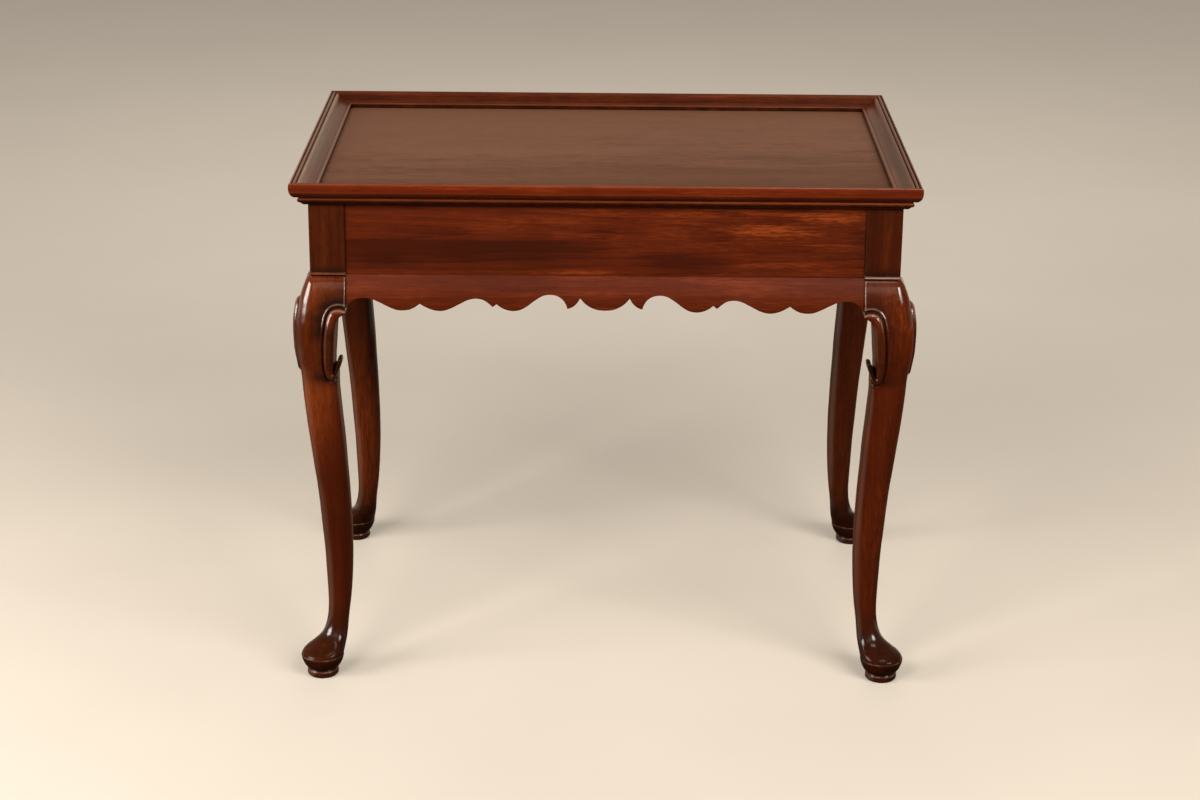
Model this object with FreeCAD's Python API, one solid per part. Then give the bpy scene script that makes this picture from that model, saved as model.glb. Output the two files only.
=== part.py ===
import FreeCAD, Part
import math
import os

# ---------------------------------------------------------------------------
# Tray top tea table. Millimetres, +Z up, front towards -Y.
# Origin: middle of the footprint, on the surface the table stands on.
# "Inset" is the distance inward from the outer edge of the tray.
# ---------------------------------------------------------------------------

# tray
TRAY_W = 775.0            # outer width of the tray rim (X)
TRAY_D = 508.0            # outer depth of the tray rim (Y)
HEIGHT = 667.0            # top of the rim
Z_FLOOR = 650.0           # upper face of the tray floor
Z_FRAME = 637.0           # top of posts and rails, underside of the tray floor
Z_RIM = 648.0             # underside of the rim moulding
Z_TONGUE = 645.5          # top of the tongue round the floor board
RIM_W = 32.5              # rim moulding, outer edge to inner lip
BOARD_IN = 20.0           # inset of the floor board's own edge
LIP_Z = 656.4             # inner lip of the rim moulding

# frame
POST_IN = 21.0            # inset of the outer faces of the posts
POST = 44.5               # square post
Z_LEDGE = 546.5           # small ledge where the post meets the knee
RAIL_IN = 23.0            # inset of the frieze rail's face
RAIL_T = 22.0             # frieze rail thickness
TENON_T = 10.0
TENON_L = 24.0
TENON_Z0, TENON_Z1 = 560.0, 612.0
SKIRT_BACK = 42.0         # inset of the skirt's back face
Z_SEAM = 546.5            # seam between frieze rail and skirt

# top fixing
GROOVE_Z0, GROOVE_Z1, GROOVE_D = 617.0, 623.0, 8.0
BUTTON_W, BUTTON_L = 26.0, 30.0
SCREW_R, SCREW_HEAD_R = 1.8, 3.6

# feet
PAD_C = 22.0              # inset of the centre of the round pad, both ways
PAD_R = 27.7              # pad radius at its rim
FELT_T = 1.5
FELT_R = 18.0

# C-scroll on the knee
SCROLL_RAISE = 6.5        # how far the band stands proud of the knee
SCROLL_ROUND = 4.0        # rounding of its outer edge

HW, HD = TRAY_W / 2.0, TRAY_D / 2.0
POST_INNER = POST_IN + POST
RAIL_INNER = RAIL_IN + RAIL_T


def V(x, y, z):
    return FreeCAD.Vector(x, y, z)


def box(x0, x1, y0, y1, z0, z1):
    return Part.makeBox(x1 - x0, y1 - y0, z1 - z0, V(x0, y0, z0))


def poly_face(points):
    return Part.Face(Part.makePolygon(list(points) + [points[0]]))


def mirror_x(shape):
    return shape.mirror(V(0, 0, 0), V(1, 0, 0))


def mirror_y(shape):
    return shape.mirror(V(0, 0, 0), V(0, 1, 0))


def solid_of(shape):
    shape = shape.removeSplitter()
    solids = shape.Solids
    assert len(solids) == 1, "expected one solid, got %d" % len(solids)
    return solids[0]


parts = {}


# ---------------------------------------------------------------------------
# mouldings: a profile of (inset, z) points runs along each side of the tray,
# and its ends are mitred at 45 degrees
# ---------------------------------------------------------------------------

def spline_edge(pts):
    curve = Part.BSplineCurve()
    curve.interpolate(pts)
    return curve.toShape()


def profile_face(segments, place):
    """segments: list of ('line'|'curve', [(t, z), ...]); consecutive ends meet."""
    edges = []
    for kind, pts in segments:
        p3 = [place(t, z) for t, z in pts]
        if kind == "curve":
            edges.append(spline_edge(p3))
        else:
            for a, b in zip(p3[:-1], p3[1:]):
                edges.append(Part.makeLine(a, b))
    return Part.Face(Part.Wire(edges))


def moulding(segments, side):
    c = 120.0
    if side in ("front", "back"):
        face = profile_face(segments, lambda t, z: V(-HW, -HD + t, z))
        bar = face.extrude(V(TRAY_W, 0, 0))
        plan = [V(-HW, -HD, 600), V(HW, -HD, 600), V(HW - c, -HD + c, 600), V(-HW + c, -HD + c, 600)]
    else:
        face = profile_face(segments, lambda t, z: V(-HW + t, -HD, z))
        bar = face.extrude(V(0, TRAY_D, 0))
        plan = [V(-HW, -HD, 600), V(-HW + c, -HD + c, 600), V(-HW + c, HD - c, 600), V(-HW, HD, 600)]
    wedge = poly_face(plan).extrude(V(0, 0, 100))
    bar = bar.common(wedge)
    if side == "back":
        bar = mirror_y(bar)
    if side == "right":
        bar = mirror_x(bar)
    return bar


ovolo = [(9.0 - 9.0 * math.sin(math.radians(a)), 661.0 - 13.0 * math.cos(math.radians(a)))
         for a in (0, 15, 30, 45, 60, 75, 90)]
crown = [(0.0, 661.0), (0.15, 663.4), (0.55, 665.4), (1.0, 666.5), (1.7, 667.0)]
small_bead = [(4.0, 665.4), (4.9, 666.2), (6.3, 666.6), (7.5, 666.1), (8.1, 665.2)]
cove = [(9.0, 664.9), (10.2, 665.3), (11.6, 665.0), (13.2, 663.9), (15.0, 661.9), (17.0, 659.7), (19.6, 657.9),
        (23.0, 656.7), (27.4, 656.1)]
lip = [(27.4, 656.1), (28.6, 656.3), (30.2, LIP_Z), (31.7, 656.1), (RIM_W, 655.2)]
rim_profile = [
    ("curve", ovolo),
    ("curve", crown),
    ("line", [crown[-1], (2.5, 667.0), (2.9, 665.7), small_bead[0]]),
    ("curve", small_bead),
    ("line", [small_bead[-1], (8.5, 664.8), cove[0]]),
    ("curve", cove),
    ("curve", lip),
    ("line", [lip[-1], (RIM_W, Z_TONGUE), (BOARD_IN, Z_TONGUE), (BOARD_IN, Z_RIM), ovolo[0]]),
]
bead_profile = [
    ("line", [(BOARD_IN, Z_FRAME), (BOARD_IN, Z_RIM), (12.6, Z_RIM)]),
    ("curve", [(12.6, Z_RIM), (10.7, 647.0), (9.6, 645.2), (9.5, 643.4), (10.6, 641.2), (12.9, 639.2), (16.5, Z_FRAME)]),
    ("line", [(16.5, Z_FRAME), (BOARD_IN, Z_FRAME)]),
]

# L-shaped key in each mitre, wholly inside the rim
key_plan = [(11, 11), (40, 11), (40, 23), (23, 23), (23, 40), (11, 40)]
KEY_Z0, KEY_Z1 = 650.5, 653.5
key_fl = poly_face([V(-HW + u, -HD + v, KEY_Z0) for u, v in key_plan]).extrude(V(0, 0, KEY_Z1 - KEY_Z0))
keys = [key_fl, mirror_x(key_fl), mirror_y(key_fl), mirror_x(mirror_y(key_fl))]
parts["mitre_keys"] = Part.makeCompound(keys)

for side in ("front", "back", "left", "right"):
    rim = moulding(rim_profile, side)
    for k in keys:
        rim = rim.cut(k)
    parts["tray_rim_" + side] = solid_of(rim)
    parts["edge_bead_" + side] = solid_of(moulding(bead_profile, side))

# tray floor board with a tongue all round, under the lip of the rim
panel = box(-HW + RIM_W, HW - RIM_W, -HD + RIM_W, HD - RIM_W, Z_FRAME, Z_FLOOR)
panel = panel.fuse(box(-HW + BOARD_IN, HW - BOARD_IN, -HD + BOARD_IN, HD - BOARD_IN, Z_FRAME, Z_TONGUE))
panel = solid_of(panel)

# ---------------------------------------------------------------------------
# legs: built at the front left corner in insets (u from the left edge,
# v from the front edge), then mirrored to the other corners
# ---------------------------------------------------------------------------

# (z, outer inset, inner inset, squareness): sections of the knee, shaft and ankle;
# the knee's inner sides run past the post's inner faces here and are trimmed flush below
leg_rows = [
    (546.5, 18.6, 68.5, 9.0), (541.0, 16.2, 68.5, 9.0), (533.0, 12.9, 68.4, 8.0), (525.0, 9.9, 68.3, 7.5),
    (515.0, 6.9, 68.2, 7.0), (505.0, 5.1, 68.0, 6.5), (495.0, 3.5, 67.4, 6.0), (482.0, 1.8, 66.0, 5.6),
    (470.0, 1.4, 64.6, 5.2), (457.0, 1.6, 62.9, 5.0), (446.0, 2.3, 61.6, 4.8), (437.0, 3.4, 60.3, 4.6),
    (428.0, 4.8, 58.4, 4.5), (419.0, 5.9, 55.6, 4.4), (410.0, 6.7, 53.6, 4.2), (398.0, 7.3, 53.0, 4.0),
    (380.0, 8.5, 54.2, 3.8), (350.0, 11.0, 56.4, 3.5), (320.0, 14.1, 58.6, 3.2), (290.0, 17.1, 60.0, 3.0),
    (260.0, 20.4, 61.6, 2.8), (230.0, 22.8, 62.7, 2.6), (200.0, 24.8, 63.5, 2.5), (170.0, 26.9, 63.4, 2.4),
    (140.0, 28.1, 62.3, 2.3), (115.0, 29.0, 60.6, 2.2), (95.0, 29.5, 58.6, 2.1), (80.0, 28.8, 56.5, 2.0),
    (70.0, 27.3, 55.4, 2.0), (61.0, 24.9, 54.6, 2.0), (53.0, 21.0, 53.9, 2.0), (47.0, 15.6, 53.1, 2.0),
    (41.0, 7.4, 52.0, 2.0), (36.0, -0.4, 50.8, 2.0), (32.0, -4.2, 49.6, 2.0), (29.4, -5.0, 49.0, 2.0),
]
SECTION_POINTS = 32


def section(z, outer, inner, n, grow=0.0):
    c = (outer + inner) / 2.0
    a = (inner - outer) / 2.0 + grow
    pts = []
    for i in range(SECTION_POINTS):
        t = 2.0 * math.pi * i / SECTION_POINTS
        ct, st = math.cos(t), math.sin(t)
        r = a / (abs(ct) ** n + abs(st) ** n) ** (1.0 / n)
        pts.append(V(c + r * ct, c + r * st, z))
    curve = Part.BSplineCurve()
    curve.interpolate(Points=pts, PeriodicFlag=True,
                      Parameters=[i / SECTION_POINTS for i in range(SECTION_POINTS + 1)])
    return Part.Wire([curve.toShape()])


def leg_loft(rows, grow=0.0):
    return Part.makeLoft([section(*r, grow=grow) for r in rows], True, False)


shaft = leg_loft(leg_rows)

# square post above the ledge
post = box(POST_IN, POST_INNER, POST_IN, POST_INNER, Z_LEDGE, Z_FRAME)

# C-scroll: outer line, inner line and the hook at its lower end, as (u, z)
scroll_outer = [(70.0, 503.9), (65.5, 505.4), (60.0, 506.9), (54.6, 507.0), (48.2, 504.6), (43.4, 497.6), (40.2, 484.6),
                (38.3, 470.6), (37.1, 454.5), (37.0, 438.4), (38.0, 424.2), (40.8, 414.6), (45.8, 410.6)]
scroll_inner = [(48.4, 421.4), (48.9, 434.4), (49.8, 444.5), (51.3, 458.6), (53.2, 474.7), (55.9, 487.6),
                (58.9, 493.8), (62.2, 497.6), (65.5, 499.6), (70.0, 501.2)]
hook_outer = [(45.8, 410.6), (50.4, 411.8), (54.2, 416.0), (57.2, 424.4), (60.0, 434.5), (59.4, 440.6)]
hook_inner = [(59.4, 440.6), (57.3, 439.2), (54.2, 431.4), (51.2, 424.6), (48.4, 421.4)]


def closed_face(place, curves, corners):
    """a flat face whose outline is the curves, then straight lines through the corners back to the start"""
    edges = [spline_edge([place(u, z) for u, z in c]) for c in curves]
    line = [curves[-1][-1]] + corners + [curves[0][0]]
    edges += [Part.makeLine(place(*a), place(*b)) for a, b in zip(line[:-1], line[1:])]
    return Part.Face(Part.Wire(edges))


on_front = lambda u, z: V(u, -30.0, z)
# the open inside of the C, above the hook and out past the inner side of the leg
cut_front = closed_face(on_front, [hook_inner, scroll_inner], [(95.0, 501.2), (95.0, 440.6)]).extrude(V(0, 120, 0))
cut_side = cut_front.mirror(V(0, 0, 0), V(1, -1, 0))
# the raised band of the scroll, before its open side is cut away
proud = leg_loft([r for r in leg_rows if 395.0 < r[0] < 520.0], grow=SCROLL_RAISE)
bead_front = closed_face(on_front, [scroll_outer, hook_outer], [(70.0, 445.0)]).extrude(V(0, 58.0, 0)).common(proud)
# its outer edge is rounded over
rim_edges = [e for e in bead_front.Edges
             if e.BoundBox.YMax < 8.0 and e.BoundBox.XMax < 70.5 and e.BoundBox.XMin < 62.0 and e.Length > 20.0]
bead_front = bead_front.makeFillet(SCROLL_ROUND, rim_edges)
bead_side = bead_front.mirror(V(0, 0, 0), V(1, -1, 0))

leg = shaft.fuse(bead_front)
leg = leg.fuse(bead_side)
leg = leg.cut(cut_front)
leg = leg.cut(cut_side)
# clear the inner corner behind the two hooks, and trim the knee flush with the post
leg = leg.cut(box(50.0, 90.0, 50.0, 90.0, 423.0, 480.0))
leg = leg.common(box(-40, POST_INNER, -40, POST_INNER, 0, 600))
leg = leg.fuse(post)

# pad foot: bowl, groove and disc, turned about the pad's own axis
bowl = [(20.4, 11.2), (22.6, 14.5), (25.2, 19.6), (26.9, 24.6), (27.7, 27.8), (27.4, 29.4)]
foot_edges = [
    Part.makeLine(V(0, 0, FELT_T), V(19.4, 0, FELT_T)),
    Part.makeLine(V(19.4, 0, FELT_T), V(20.3, 0, 2.6)),
    Part.makeLine(V(20.3, 0, 2.6), V(20.3, 0, 7.8)),
    Part.makeLine(V(20.3, 0, 7.8), V(19.5, 0, 9.2)),
    Part.makeLine(V(19.5, 0, 9.2), V(18.9, 0, 10.2)),
    Part.makeLine(V(18.9, 0, 10.2), V(20.4, 0, 11.2)),
    spline_edge([V(r, 0, z) for r, z in bowl]),
    Part.makeLine(V(27.4, 0, 29.4), V(0, 0, 29.4)),
    Part.makeLine(V(0, 0, 29.4), V(0, 0, FELT_T)),
]
foot = Part.Face(Part.Wire(foot_edges)).revolve(V(0, 0, 0), V(0, 0, 1), 360)
foot.translate(V(PAD_C, PAD_C, 0))
leg = leg.fuse(foot)

# mortises for the rail tenons, in both inner faces of the post
mid = RAIL_IN + RAIL_T / 2.0
leg = leg.cut(box(POST_INNER - TENON_L, POST_INNER + 5, mid - TENON_T / 2, mid + TENON_T / 2, TENON_Z0, TENON_Z1))
leg = leg.cut(box(mid - TENON_T / 2, mid + TENON_T / 2, POST_INNER - TENON_L, POST_INNER + 5, TENON_Z0, TENON_Z1))

# skirt end dowels: half in the leg, half in the skirt
DOWEL_R, END_Z, END_V, END_IN = 4.0, 532.0, 30.0, 14.0
end_u = Part.makeCylinder(DOWEL_R, 2 * END_IN, V(POST_INNER - END_IN, END_V, END_Z), V(1, 0, 0))
end_v = Part.makeCylinder(DOWEL_R, 2 * END_IN, V(END_V, POST_INNER - END_IN, END_Z - 10.0), V(0, 1, 0))
leg = leg.cut(end_u).cut(end_v)
leg = solid_of(leg)
leg.translate(V(-HW, -HD, 0))
parts["leg_front_left"] = leg
parts["leg_front_right"] = mirror_x(leg)
parts["leg_back_left"] = mirror_y(leg)
parts["leg_back_right"] = mirror_x(mirror_y(leg))

felt = Part.makeCylinder(FELT_R, FELT_T, V(-HW + PAD_C, -HD + PAD_C, 0))
parts["foot_felt_front_left"] = felt
parts["foot_felt_front_right"] = mirror_x(felt)
parts["foot_felt_back_left"] = mirror_y(felt)
parts["foot_felt_back_right"] = mirror_x(mirror_y(felt))

ends = []
for d in (end_u, end_v):
    e = d.copy()
    e.translate(V(-HW, -HD, 0))
    ends += [e, mirror_x(e), mirror_y(e), mirror_x(mirror_y(e))]
parts["skirt_end_dowels"] = Part.makeCompound(ends)

# ---------------------------------------------------------------------------
# frieze rails, with a tenon on each end and a groove inside for the buttons
# ---------------------------------------------------------------------------

def rail_front_shape():
    x = HW - POST_INNER
    r = box(-x, x, -HD + RAIL_IN, -HD + RAIL_INNER, Z_SEAM, Z_FRAME)
    r = r.fuse(box(-x - TENON_L, x + TENON_L, -HD + mid - TENON_T / 2, -HD + mid + TENON_T / 2, TENON_Z0, TENON_Z1))
    r = r.cut(box(-x + 20, x - 20, -HD + RAIL_INNER - GROOVE_D, -HD + RAIL_INNER + 5, GROOVE_Z0, GROOVE_Z1))
    return r


def rail_left_shape():
    y = HD - POST_INNER
    r = box(-HW + RAIL_IN, -HW + RAIL_INNER, -y, y, Z_SEAM, Z_FRAME)
    r = r.fuse(box(-HW + mid - TENON_T / 2, -HW + mid + TENON_T / 2, -y - TENON_L, y + TENON_L, TENON_Z0, TENON_Z1))
    r = r.cut(box(-HW + RAIL_INNER - GROOVE_D, -HW + RAIL_INNER + 5, -y + 20, y - 20, GROOVE_Z0, GROOVE_Z1))
    return r


rails = {"front": rail_front_shape(), "left": rail_left_shape()}

# ---------------------------------------------------------------------------
# scalloped skirts: a swelling face, sawn to the scalloped line at the bottom
# ---------------------------------------------------------------------------

# right half of the front line as (distance from the middle, z); each run is one smooth curve
front_runs = [
    [(0.0, 505.0), (9.0, 505.9), (18.0, 509.4), (25.0, 514.4), (30.8, 520.6)],
    [(30.8, 520.6), (34.2, 515.2), (38.0, 511.2), (42.0, 508.6), (46.6, 507.0)],
    [(46.6, 507.0), (48.2, 512.2), (52.0, 518.2), (59.0, 523.0), (68.0, 524.6), (77.0, 523.2), (87.0, 517.4),
     (97.0, 509.8), (105.0, 505.2), (113.0, 503.6), (121.0, 504.6), (128.0, 507.6), (134.7, 512.6)],
    [(134.7, 512.6), (137.2, 510.4), (139.3, 508.8)],
    [(139.3, 508.8), (144.0, 513.0), (151.0, 517.6), (160.0, 519.3), (169.0, 517.8), (180.0, 512.6), (192.0, 506.2),
     (200.0, 503.4), (206.3, 502.8), (214.0, 504.2), (222.0, 507.6), (230.0, 512.3)],
    [(230.0, 512.3), (236.0, 507.8), (243.0, 504.4), (252.0, 503.2), (260.0, 504.2), (270.0, 508.6), (280.0, 513.8),
     (290.0, 517.9), (301.0, 519.3), (309.0, 518.0), (315.0, 514.4), (319.2, 509.8), (322.0, 505.6)],
]
side_runs = [
    [(0.0, 505.0), (9.0, 505.9), (18.0, 509.4), (25.0, 514.4), (30.8, 520.6)],
    [(30.8, 520.6), (34.2, 515.2), (38.0, 511.2), (42.0, 508.6), (46.6, 507.0)],
    [(46.6, 507.0), (49.0, 512.0), (53.0, 515.8), (58.0, 516.6), (63.5, 512.6), (70.0, 506.2), (76.5, 503.6),
     (84.0, 504.6), (90.0, 507.6), (96.5, 512.3)],
    [(96.5, 512.3), (102.5, 507.8), (109.5, 504.4), (118.5, 503.2), (126.5, 504.2), (136.5, 508.6), (146.5, 513.8),
     (156.5, 517.9), (167.5, 519.3), (175.5, 518.0), (181.5, 514.4), (185.7, 509.8), (188.5, 505.6)],
]
skirt_face = [(21.2, Z_SEAM), (18.4, 541.4), (14.9, 534.0), (11.9, 526.0), (9.9, 518.0), (9.3, 511.0), (9.9, 505.0),
              (11.4, 499.0)]


def skirt(runs, half):
    """a skirt at the front; half is half its length between the legs"""
    prof = [("curve", skirt_face), ("line", [skirt_face[-1], (SKIRT_BACK, 499.0), (SKIRT_BACK, Z_SEAM), skirt_face[0]])]
    body = profile_face(prof, lambda t, z: V(-half, -HD + t, z)).extrude(V(2 * half, 0, 0))
    edges = []
    for s in (1, -1):
        for run in runs:
            edges.append(spline_edge([V(s * x, -HD - 40, z) for x, z in run]))
    edges += [Part.makeLine(V(half, -HD - 40, 505.6), V(half, -HD - 40, 480)),
              Part.makeLine(V(half, -HD - 40, 480), V(-half, -HD - 40, 480)),
              Part.makeLine(V(-half, -HD - 40, 480), V(-half, -HD - 40, 505.6))]
    below = Part.Face(Part.Wire(Part.__sortEdges__(edges))).extrude(V(0, 200, 0))
    return body.cut(below)


skirts = {"front": skirt(front_runs, HW - POST_INNER)}
left = skirt(side_runs, HD - POST_INNER)
left.rotate(V(0, 0, 0), V(0, 0, 1), -90)
left.translate(V(-HW + HD, 0, 0))
skirts["left"] = left

# dowels from the rails down into the skirts
DOWEL_Z0, DOWEL_Z1 = 529.0, 563.0
dowels = {"front": [Part.makeCylinder(DOWEL_R, DOWEL_Z1 - DOWEL_Z0, V(x, -HD + 33.0, DOWEL_Z0))
                    for x in (-255.0, -110.0, 110.0, 255.0)],
          "left": [Part.makeCylinder(DOWEL_R, DOWEL_Z1 - DOWEL_Z0, V(-HW + 33.0, y, DOWEL_Z0)) for y in (-120.0, 120.0)]}

# buttons under the top, with a tongue in the rail's groove
def button(x, rail):
    if rail == "front":
        y = -HD + RAIL_INNER
        b = box(x - BUTTON_W / 2, x + BUTTON_W / 2, y, y + BUTTON_L, GROOVE_Z0, Z_FRAME)
        b = b.fuse(box(x - BUTTON_W / 2, x + BUTTON_W / 2, y - GROOVE_D + 1.5, y, GROOVE_Z0, GROOVE_Z1))
        at = V(x, y + BUTTON_L * 0.55, GROOVE_Z0)
    else:
        y = -HW + RAIL_INNER
        b = box(y, y + BUTTON_L, x - BUTTON_W / 2, x + BUTTON_W / 2, GROOVE_Z0, Z_FRAME)
        b = b.fuse(box(y - GROOVE_D + 1.5, y, x - BUTTON_W / 2, x + BUTTON_W / 2, GROOVE_Z0, GROOVE_Z1))
        at = V(y + BUTTON_L * 0.55, x, GROOVE_Z0)
    head = Part.makeCone(SCREW_HEAD_R, SCREW_R, 2.4, at)
    screw = head.fuse(Part.makeCylinder(SCREW_R, 28.0, at)).removeSplitter()
    return solid_of(b.cut(screw)), screw.Solids[0]


buttons, button_screws = [], []
for x, rail in ((-190.0, "front"), (0.0, "front"), (190.0, "front"), (0.0, "left")):
    b, s = button(x, rail)
    if rail == "front":
        pair = [(b, s), (mirror_y(b), mirror_y(s))]
    else:
        pair = [(b, s), (mirror_x(b), mirror_x(s))]
    for bb, ss in pair:
        buttons.append(bb)
        button_screws.append(ss)
for s in button_screws:
    panel = panel.cut(s)
parts["top_panel"] = solid_of(panel)
parts["top_buttons"] = Part.makeCompound(buttons)
parts["button_screws"] = Part.makeCompound(button_screws)

# corner blocks behind the posts, screwed to both rails
BLOCK_Z0, BLOCK_Z1, BLOCK_L = 562.0, 608.0, 114.0
p = POST_INNER + 0.5
block = poly_face([V(p, RAIL_INNER, BLOCK_Z0), V(BLOCK_L, RAIL_INNER, BLOCK_Z0), V(RAIL_INNER, BLOCK_L, BLOCK_Z0),
                   V(RAIL_INNER, p, BLOCK_Z0), V(p, p, BLOCK_Z0)]).extrude(V(0, 0, BLOCK_Z1 - BLOCK_Z0))
screws_fl = []
for zc, flip in ((575.0, False), (595.0, True)):
    # shank into the rail, head in a counterbored pocket
    shank = Part.makeCylinder(2.0, 27.0, V(90.0, 30.0, zc), V(0, 1, 0))
    head = Part.makeCylinder(3.9, 2.4, V(90.0, 54.6, zc), V(0, 1, 0))
    screw = shank.fuse(head).removeSplitter().Solids[0]
    pocket = Part.makeCylinder(4.4, 30.0, V(90.0, 54.6, zc), V(0, 1, 0))
    if flip:
        screw = screw.mirror(V(0, 0, 0), V(1, -1, 0))
        pocket = pocket.mirror(V(0, 0, 0), V(1, -1, 0))
    block = block.cut(pocket).cut(screw)
    screws_fl.append(screw)
block = solid_of(block)
block.translate(V(-HW, -HD, 0))
block_screws = []
for s in screws_fl:
    s.translate(V(-HW, -HD, 0))
    block_screws += [s, mirror_x(s), mirror_y(s), mirror_x(mirror_y(s))]
parts["corner_block_front_left"] = block
parts["corner_block_front_right"] = mirror_x(block)
parts["corner_block_back_left"] = mirror_y(block)
parts["corner_block_back_right"] = mirror_x(mirror_y(block))
parts["corner_block_screws"] = Part.makeCompound(block_screws)

# bore the rails and skirts for dowels and screws, then place all four sides
all_dowels = []
for side, flip, other in (("front", mirror_y, "back"), ("left", mirror_x, "right")):
    rail, sk = rails[side], skirts[side]
    for d in dowels[side]:
        rail = rail.cut(d)
        sk = sk.cut(d)
        all_dowels += [d, flip(d)]
    for s in block_screws:
        rail = rail.cut(s)
    for e in ends:
        sk = sk.cut(e)
    rail, sk = solid_of(rail), solid_of(sk)
    parts["rail_" + side], parts["rail_" + other] = rail, flip(rail)
    parts["skirt_" + side], parts["skirt_" + other] = sk, flip(sk)
parts["skirt_dowels"] = Part.makeCompound(all_dowels)

os.makedirs("parts", exist_ok=True)
for name, shape in sorted(parts.items()):
    assert shape.isValid(), name
    shape.exportStep("parts/%s.step" % name)
    bb = shape.BoundBox
    print("%-26s solids %2d  vol %10.0f  x %.1f..%.1f y %.1f..%.1f z %.1f..%.1f" % (
        name, len(shape.Solids), shape.Volume, bb.XMin, bb.XMax, bb.YMin, bb.YMax, bb.ZMin, bb.ZMax))
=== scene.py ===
import bpy
import math
import numpy as np
from mathutils import Matrix, Vector


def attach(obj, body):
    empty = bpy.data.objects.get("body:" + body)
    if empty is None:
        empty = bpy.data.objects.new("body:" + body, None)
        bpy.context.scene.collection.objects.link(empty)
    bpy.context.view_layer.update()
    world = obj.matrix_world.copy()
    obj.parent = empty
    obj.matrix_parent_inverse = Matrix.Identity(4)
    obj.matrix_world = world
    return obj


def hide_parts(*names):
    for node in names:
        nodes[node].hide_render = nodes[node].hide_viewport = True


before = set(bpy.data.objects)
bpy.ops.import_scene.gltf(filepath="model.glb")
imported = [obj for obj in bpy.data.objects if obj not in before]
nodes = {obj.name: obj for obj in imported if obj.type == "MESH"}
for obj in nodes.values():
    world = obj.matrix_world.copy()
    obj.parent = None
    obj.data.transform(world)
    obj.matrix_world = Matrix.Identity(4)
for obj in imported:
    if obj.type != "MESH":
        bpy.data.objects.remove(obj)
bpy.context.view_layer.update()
MM = 0.001

# ---------------------------------------------------------------------------
# camera: fitted to the corners of the tray and to the feet, image taken as 1200 x 800
# ---------------------------------------------------------------------------
FOCAL_PX = 2569.63
CAM_AT = (-0.00001, -3.28550, 1.47940)
PITCH, YAW, ROLL = 0.344673, 0.0016959, 0.0077430


def make_camera():
    right = Vector((math.cos(YAW), math.sin(YAW), 0))
    fwd = Vector((-math.sin(YAW) * math.cos(PITCH), math.cos(YAW) * math.cos(PITCH), -math.sin(PITCH)))
    up = Vector((-math.sin(YAW) * math.sin(PITCH), math.cos(YAW) * math.sin(PITCH), math.cos(PITCH)))
    c, s = math.cos(ROLL), math.sin(ROLL)
    ax, ay, az = c * right + s * up, c * up - s * right, -fwd
    cam = bpy.data.cameras.new("camera")
    cam.sensor_fit = "HORIZONTAL"
    cam.sensor_width = 36.0
    cam.lens = FOCAL_PX / 1200.0 * 36.0
    cam.clip_start, cam.clip_end = 0.05, 60.0
    ob = bpy.data.objects.new("camera", cam)
    bpy.context.scene.collection.objects.link(ob)
    ob.matrix_world = Matrix(((ax.x, ay.x, az.x, CAM_AT[0]), (ax.y, ay.y, az.y, CAM_AT[1]),
                              (ax.z, ay.z, az.z, CAM_AT[2]), (0, 0, 0, 1)))
    bpy.context.scene.camera = ob


make_camera()

# ---------------------------------------------------------------------------
# small helpers
# ---------------------------------------------------------------------------
W, D = 775.0, 508.0
HW, HD = W / 2, D / 2


def pchip(x, y, q):
    """smooth curve through the points that never overshoots them"""
    x, y = np.asarray(x, float), np.asarray(y, float)
    if x[0] > x[-1]:
        x, y = x[::-1], y[::-1]
    h = np.diff(x)
    s = np.diff(y) / h
    m = np.zeros_like(x)
    for k in range(1, len(x) - 1):
        if s[k - 1] * s[k] > 0:
            w1, w2 = 2 * h[k] + h[k - 1], h[k] + 2 * h[k - 1]
            m[k] = (w1 + w2) / (w1 / s[k - 1] + w2 / s[k])
    m[0], m[-1] = s[0], s[-1]
    q = np.clip(np.asarray(q, float), x[0], x[-1])
    i = np.clip(np.searchsorted(x, q) - 1, 0, len(x) - 2)
    t = (q - x[i]) / h[i]
    return ((1 + 2 * t) * (1 - t) ** 2 * y[i] + t * (1 - t) ** 2 * h[i] * m[i]
            + t * t * (3 - 2 * t) * y[i + 1] + t * t * (t - 1) * h[i] * m[i + 1])


def catmull(points, step):
    """a smooth line through the points, sampled about every step"""
    p = np.asarray(points, float)
    ext = np.vstack([2 * p[0] - p[1], p, 2 * p[-1] - p[-2]])
    out = []
    for k in range(1, len(ext) - 2):
        p0, p1, p2, p3 = ext[k - 1:k + 3]
        n = max(2, int(np.ceil(np.linalg.norm(p2 - p1) / step)))
        d01 = max(np.linalg.norm(p1 - p0), 1e-6) ** 0.5
        d12 = max(np.linalg.norm(p2 - p1), 1e-6) ** 0.5
        d23 = max(np.linalg.norm(p3 - p2), 1e-6) ** 0.5
        m1 = p2 - p1 + d12 * ((p1 - p0) / d01 - (p2 - p0) / (d01 + d12))
        m2 = p2 - p1 + d12 * ((p3 - p2) / d23 - (p3 - p1) / (d12 + d23))
        for t in np.arange(n) / n:
            out.append((2 * t ** 3 - 3 * t ** 2 + 1) * p1 + (t ** 3 - 2 * t ** 2 + t) * m1
                       + (-2 * t ** 3 + 3 * t ** 2) * p2 + (t ** 3 - t ** 2) * m2)
    out.append(p[-1])
    return np.array(out)


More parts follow.
